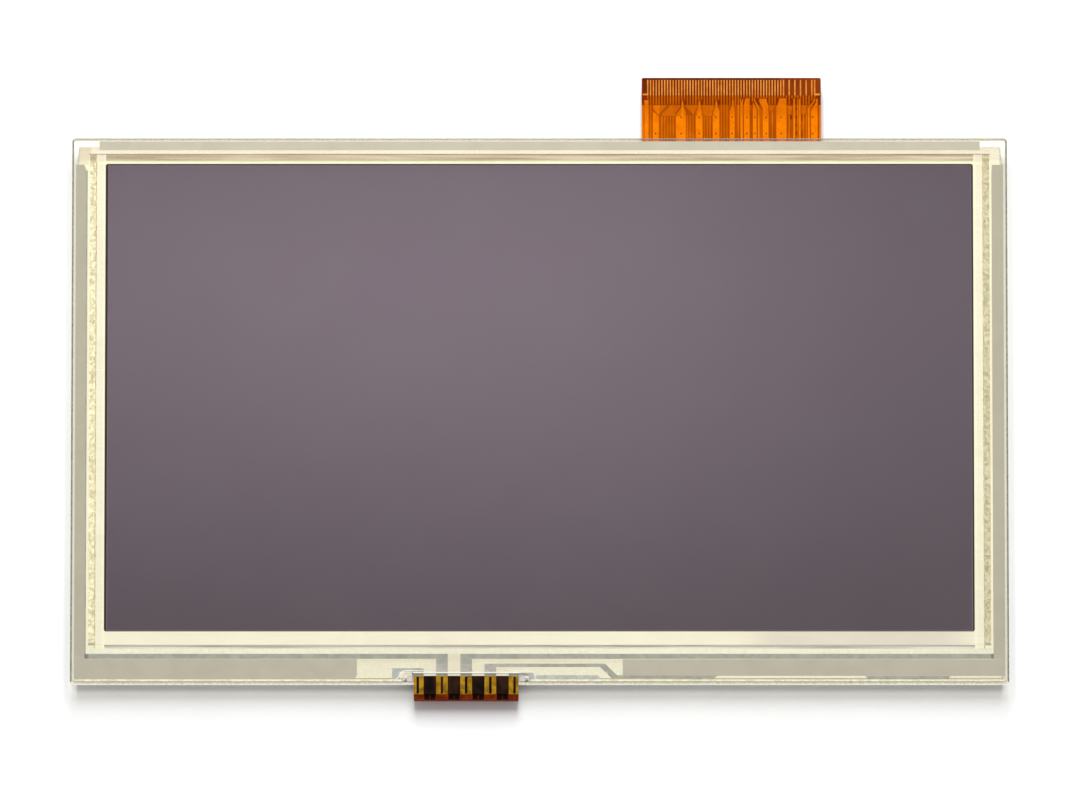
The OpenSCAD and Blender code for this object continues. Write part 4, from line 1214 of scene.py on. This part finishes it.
@dataclass
class MainFlex:
    """Main flex with its lands, contacts and coverlay."""

    fan_gaps: tuple[Span, ...] = (
        (-12.7, -8.9), (-8.3, -5.92), (-5.3, -2.93), (6.65, 7.86), (9.85, 10.9), (12.35, 13.4),
    )
    fan_depth: float = 2.05
    contact_x: Span = (-15.6, 8.6)
    contact_length: float = 4.05
    bare_length: float = 9.0
    rear_pads: tuple[tuple[float, float, float, float], ...] = (
        (10.15, 10.75, -2.6, -1.9), (11.4, 11.75, -0.95, -0.45), (11.4, 11.75, -2.6, -1.9),
        (11.4, 11.7, -3.95, -3.45), (11.4, 11.7, -5.55, -4.9), (12.4, 12.66, -2.9, -1.65),
        (12.96, 13.36, -2.5, -1.75), (10.15, 10.45, -6.1, -4.6), (12.4, 12.55, -6.1, -4.6),
        (13.1, 13.3, -6.1, -4.6), (-14.4, -14.15, -2.65, -2.2),
    )
    via_x: tuple[float, ...] = (-8.88, -5.66, -2.72, 0.15, 2.74, 4.16, 6.16, 8.81, 14.38)
    lone_via_x: float = -13.37
    via_rows: tuple[float, ...] = (1.4, 4.4)
    via_r: float = 0.115 * MM

    def build(self) -> None:
        """Makes the coverlay and dresses the flex."""
        middle = sum(corner.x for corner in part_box("main_flex")) / 2 / MM
        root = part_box("flex_stiffener")[0].y / MM
        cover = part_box("flex_coverlay")[1].y / MM
        bare = Patch((0.55, 0.4, 0.2), y=(cover, cover + self.bare_length), soft_mm=0.05)
        gaps = Patch(
            (0.52, 0.46, 0.4), x=tuple(middle + x for x in self.contact_x),
            y=(cover, cover + self.contact_length), soft_mm=0.05,
        )
        backed = Patch((0.5, 0.34, 0.25), y=(root, cover), soft_mm=0.05)
        behind = tuple(
            Patch((0.42, 0.32, 0.2), x=(middle + x0, middle + x1), y=(root + y0, root + y1))
            for x0, x1, y0, y1 in self.rear_pads
        )
        base = FlexFilm(
            "flex_film", srgb(144, 65, 0), srgb(174, 87, 2), 0.3, 0.5,
            patches=(bare, gaps, backed, *behind),
        )
        dress(base, "main_flex")
        dress(FlexFilm("flex_stiff", srgb(114, 36, 3), srgb(136, 48, 6), 0.4), "flex_stiffener")
        fans = tuple(
            Patch((0.78, 0.74, 0.6), x=(middle + x0, middle + x1),
                  y=(root - self.fan_depth, root + 0.05), soft_mm=0.02)
            for x0, x1 in self.fan_gaps
        )
        upper = Patch((0.8, 0.72, 0.6), y=(root - 2.0, root + 4.0), soft_mm=3.0)
        copper = Plating(
            "land_copper", srgb(236, 129, 0), srgb(249, 145, 0), 0.4, 0.25, patches=(*fans, upper)
        )
        dress(copper, "flex_lands")
        shade = Patch((0.84, 0.8, 0.7), y=(root, cover), soft_mm=0.05)
        trace = FlexFilm("trace_copper", srgb(184, 94, 0), srgb(206, 114, 2), 0.4, patches=(shade,))
        dress(trace, "flex_traces")
        gold = Plating("contact_gold", srgb(212, 117, 34), srgb(234, 146, 62), 0.35, 0.25)
        dress(gold, "flex_contacts")
        self.make_coverlay()
        self.make_vias()

    def make_vias(self) -> None:
        """Makes the dark barrels in the lands' via holes."""
        middle = sum(corner.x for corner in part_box("main_flex")) / 2
        low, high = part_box("flex_lands")
        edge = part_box("touch_glass")[1].y
        sites = [(x, row) for x in self.via_x for row in self.via_rows]
        sites.append((self.lone_via_x, self.via_rows[0]))
        mesh = bmesh.new()
        for x, row in sites:
            centre = Vector((middle + x * MM, edge + row * MM, (low.z + high.z) / 2))
            bmesh.ops.create_cone(
                mesh, cap_ends=True, segments=20, radius1=self.via_r, radius2=self.via_r,
                depth=high.z - low.z - 2 * SKIN, matrix=Matrix.Translation(centre),
            )
        barrel = FlexFilm("via_barrel", srgb(30, 14, 4), srgb(60, 28, 6), 0.5)
        new_piece("via_barrels", mesh, "copper", barrel.material())

    def make_coverlay(self) -> None:
        """Makes the amber coverlay, a hair above the copper."""
        mesh = merged_copy("flex_coverlay")
        squeeze(mesh)
        mark_edges(mesh)
        amber = ClearSheet("amber_coverlay", (0.99, 0.94, 0.66), Face.BONDED, 0.15)
        edge = CutEdge("coverlay_edge", srgb(150, 60, 4), srgb(190, 96, 10), 0.6)
        finishes = amber.material(), edge.material()
        piece = new_piece("clear_coverlay", mesh, "amber_coverlay", *finishes)
        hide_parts("flex_coverlay")


@dataclass
class Studio:
    """Pale floor, soft light and the camera."""

    elevation: float = 74.0
    distance: float = 5.2
    field_width: float = 0.19019
    aim: Colour = (0.00007, 0.00082, 0.0051)
    ambient: float = 0.46
    key_power: float = 7.05
    key_size: Span = (0.3, 0.64)
    key_place: Colour = (0.0, 0.44, 0.668)
    bounces: int = 32
    floor_size: float = 3.0
    clip: Span = (0.1, 50.0)

    def build(self) -> None:
        """Makes the floor, the light and the camera."""
        self.make_floor()
        self.make_light()
        self.make_camera()

    def make_floor(self) -> None:
        """Makes the floor just under the module."""
        mesh = bmesh.new()
        bmesh.ops.create_grid(mesh, x_segments=1, y_segments=1, size=self.floor_size)
        for v in mesh.verts:
            v.co.z = CAD_BOX[0].z - 2 * SKIN
        paper = Moulding("floor_paper", (0.915,) * 3, (0.935,) * 3, 0.9, 0.5, 0.02)
        floor = placed("floor", mesh, paper.material())

    def make_light(self) -> None:
        """Makes the even surround and the soft key light behind the top edge."""
        world = bpy.data.worlds.new("surround")
        world.use_nodes = True
        bpy.context.scene.world = world
        surround = world.node_tree.nodes["Background"]
        surround.inputs["Color"].default_value = (1.0,) * 4
        surround.inputs["Strength"].default_value = self.ambient
        data = bpy.data.lights.new("key", "AREA")
        data.shape, data.energy = "RECTANGLE", self.key_power
        data.size, data.size_y = self.key_size
        key = bpy.data.objects.new("key", data)
        key.location = self.key_place
        key.rotation_euler = Vector(self.key_place).to_track_quat("Z", "Y").to_euler()
        key.visible_camera = False
        key.visible_glossy = False
        bpy.context.scene.collection.objects.link(key)

    def make_camera(self) -> None:
        """Makes the far camera, which looks down on the face from the bottom edge."""
        tilt = math.radians(self.elevation)
        back = Vector((0, -math.cos(tilt), math.sin(tilt)))
        data = bpy.data.cameras.new("camera")
        data.lens = data.sensor_width * self.distance / self.field_width
        data.clip_start, data.clip_end = self.clip
        camera = bpy.data.objects.new("camera", data)
        camera.location = Vector(self.aim) + back * self.distance
        camera.rotation_euler = back.to_track_quat("Z", "Y").to_euler()
        scene = bpy.context.scene
        scene.collection.objects.link(camera)
        scene.camera = camera
        scene.view_settings.view_transform = "Standard"
        scene.cycles.transparent_max_bounces = self.bounces


def main() -> None:
    """Builds the sub-assemblies in order, then the studio."""
    logging.basicConfig(level=logging.INFO, format="%(name)s: %(message)s")
    for part in (Case(), Backlight(), DisplayCell(), TouchPanel(), TouchTail(), MainFlex()):
        part.build()
    Studio().build()


if __name__ == "__main__":
    main()
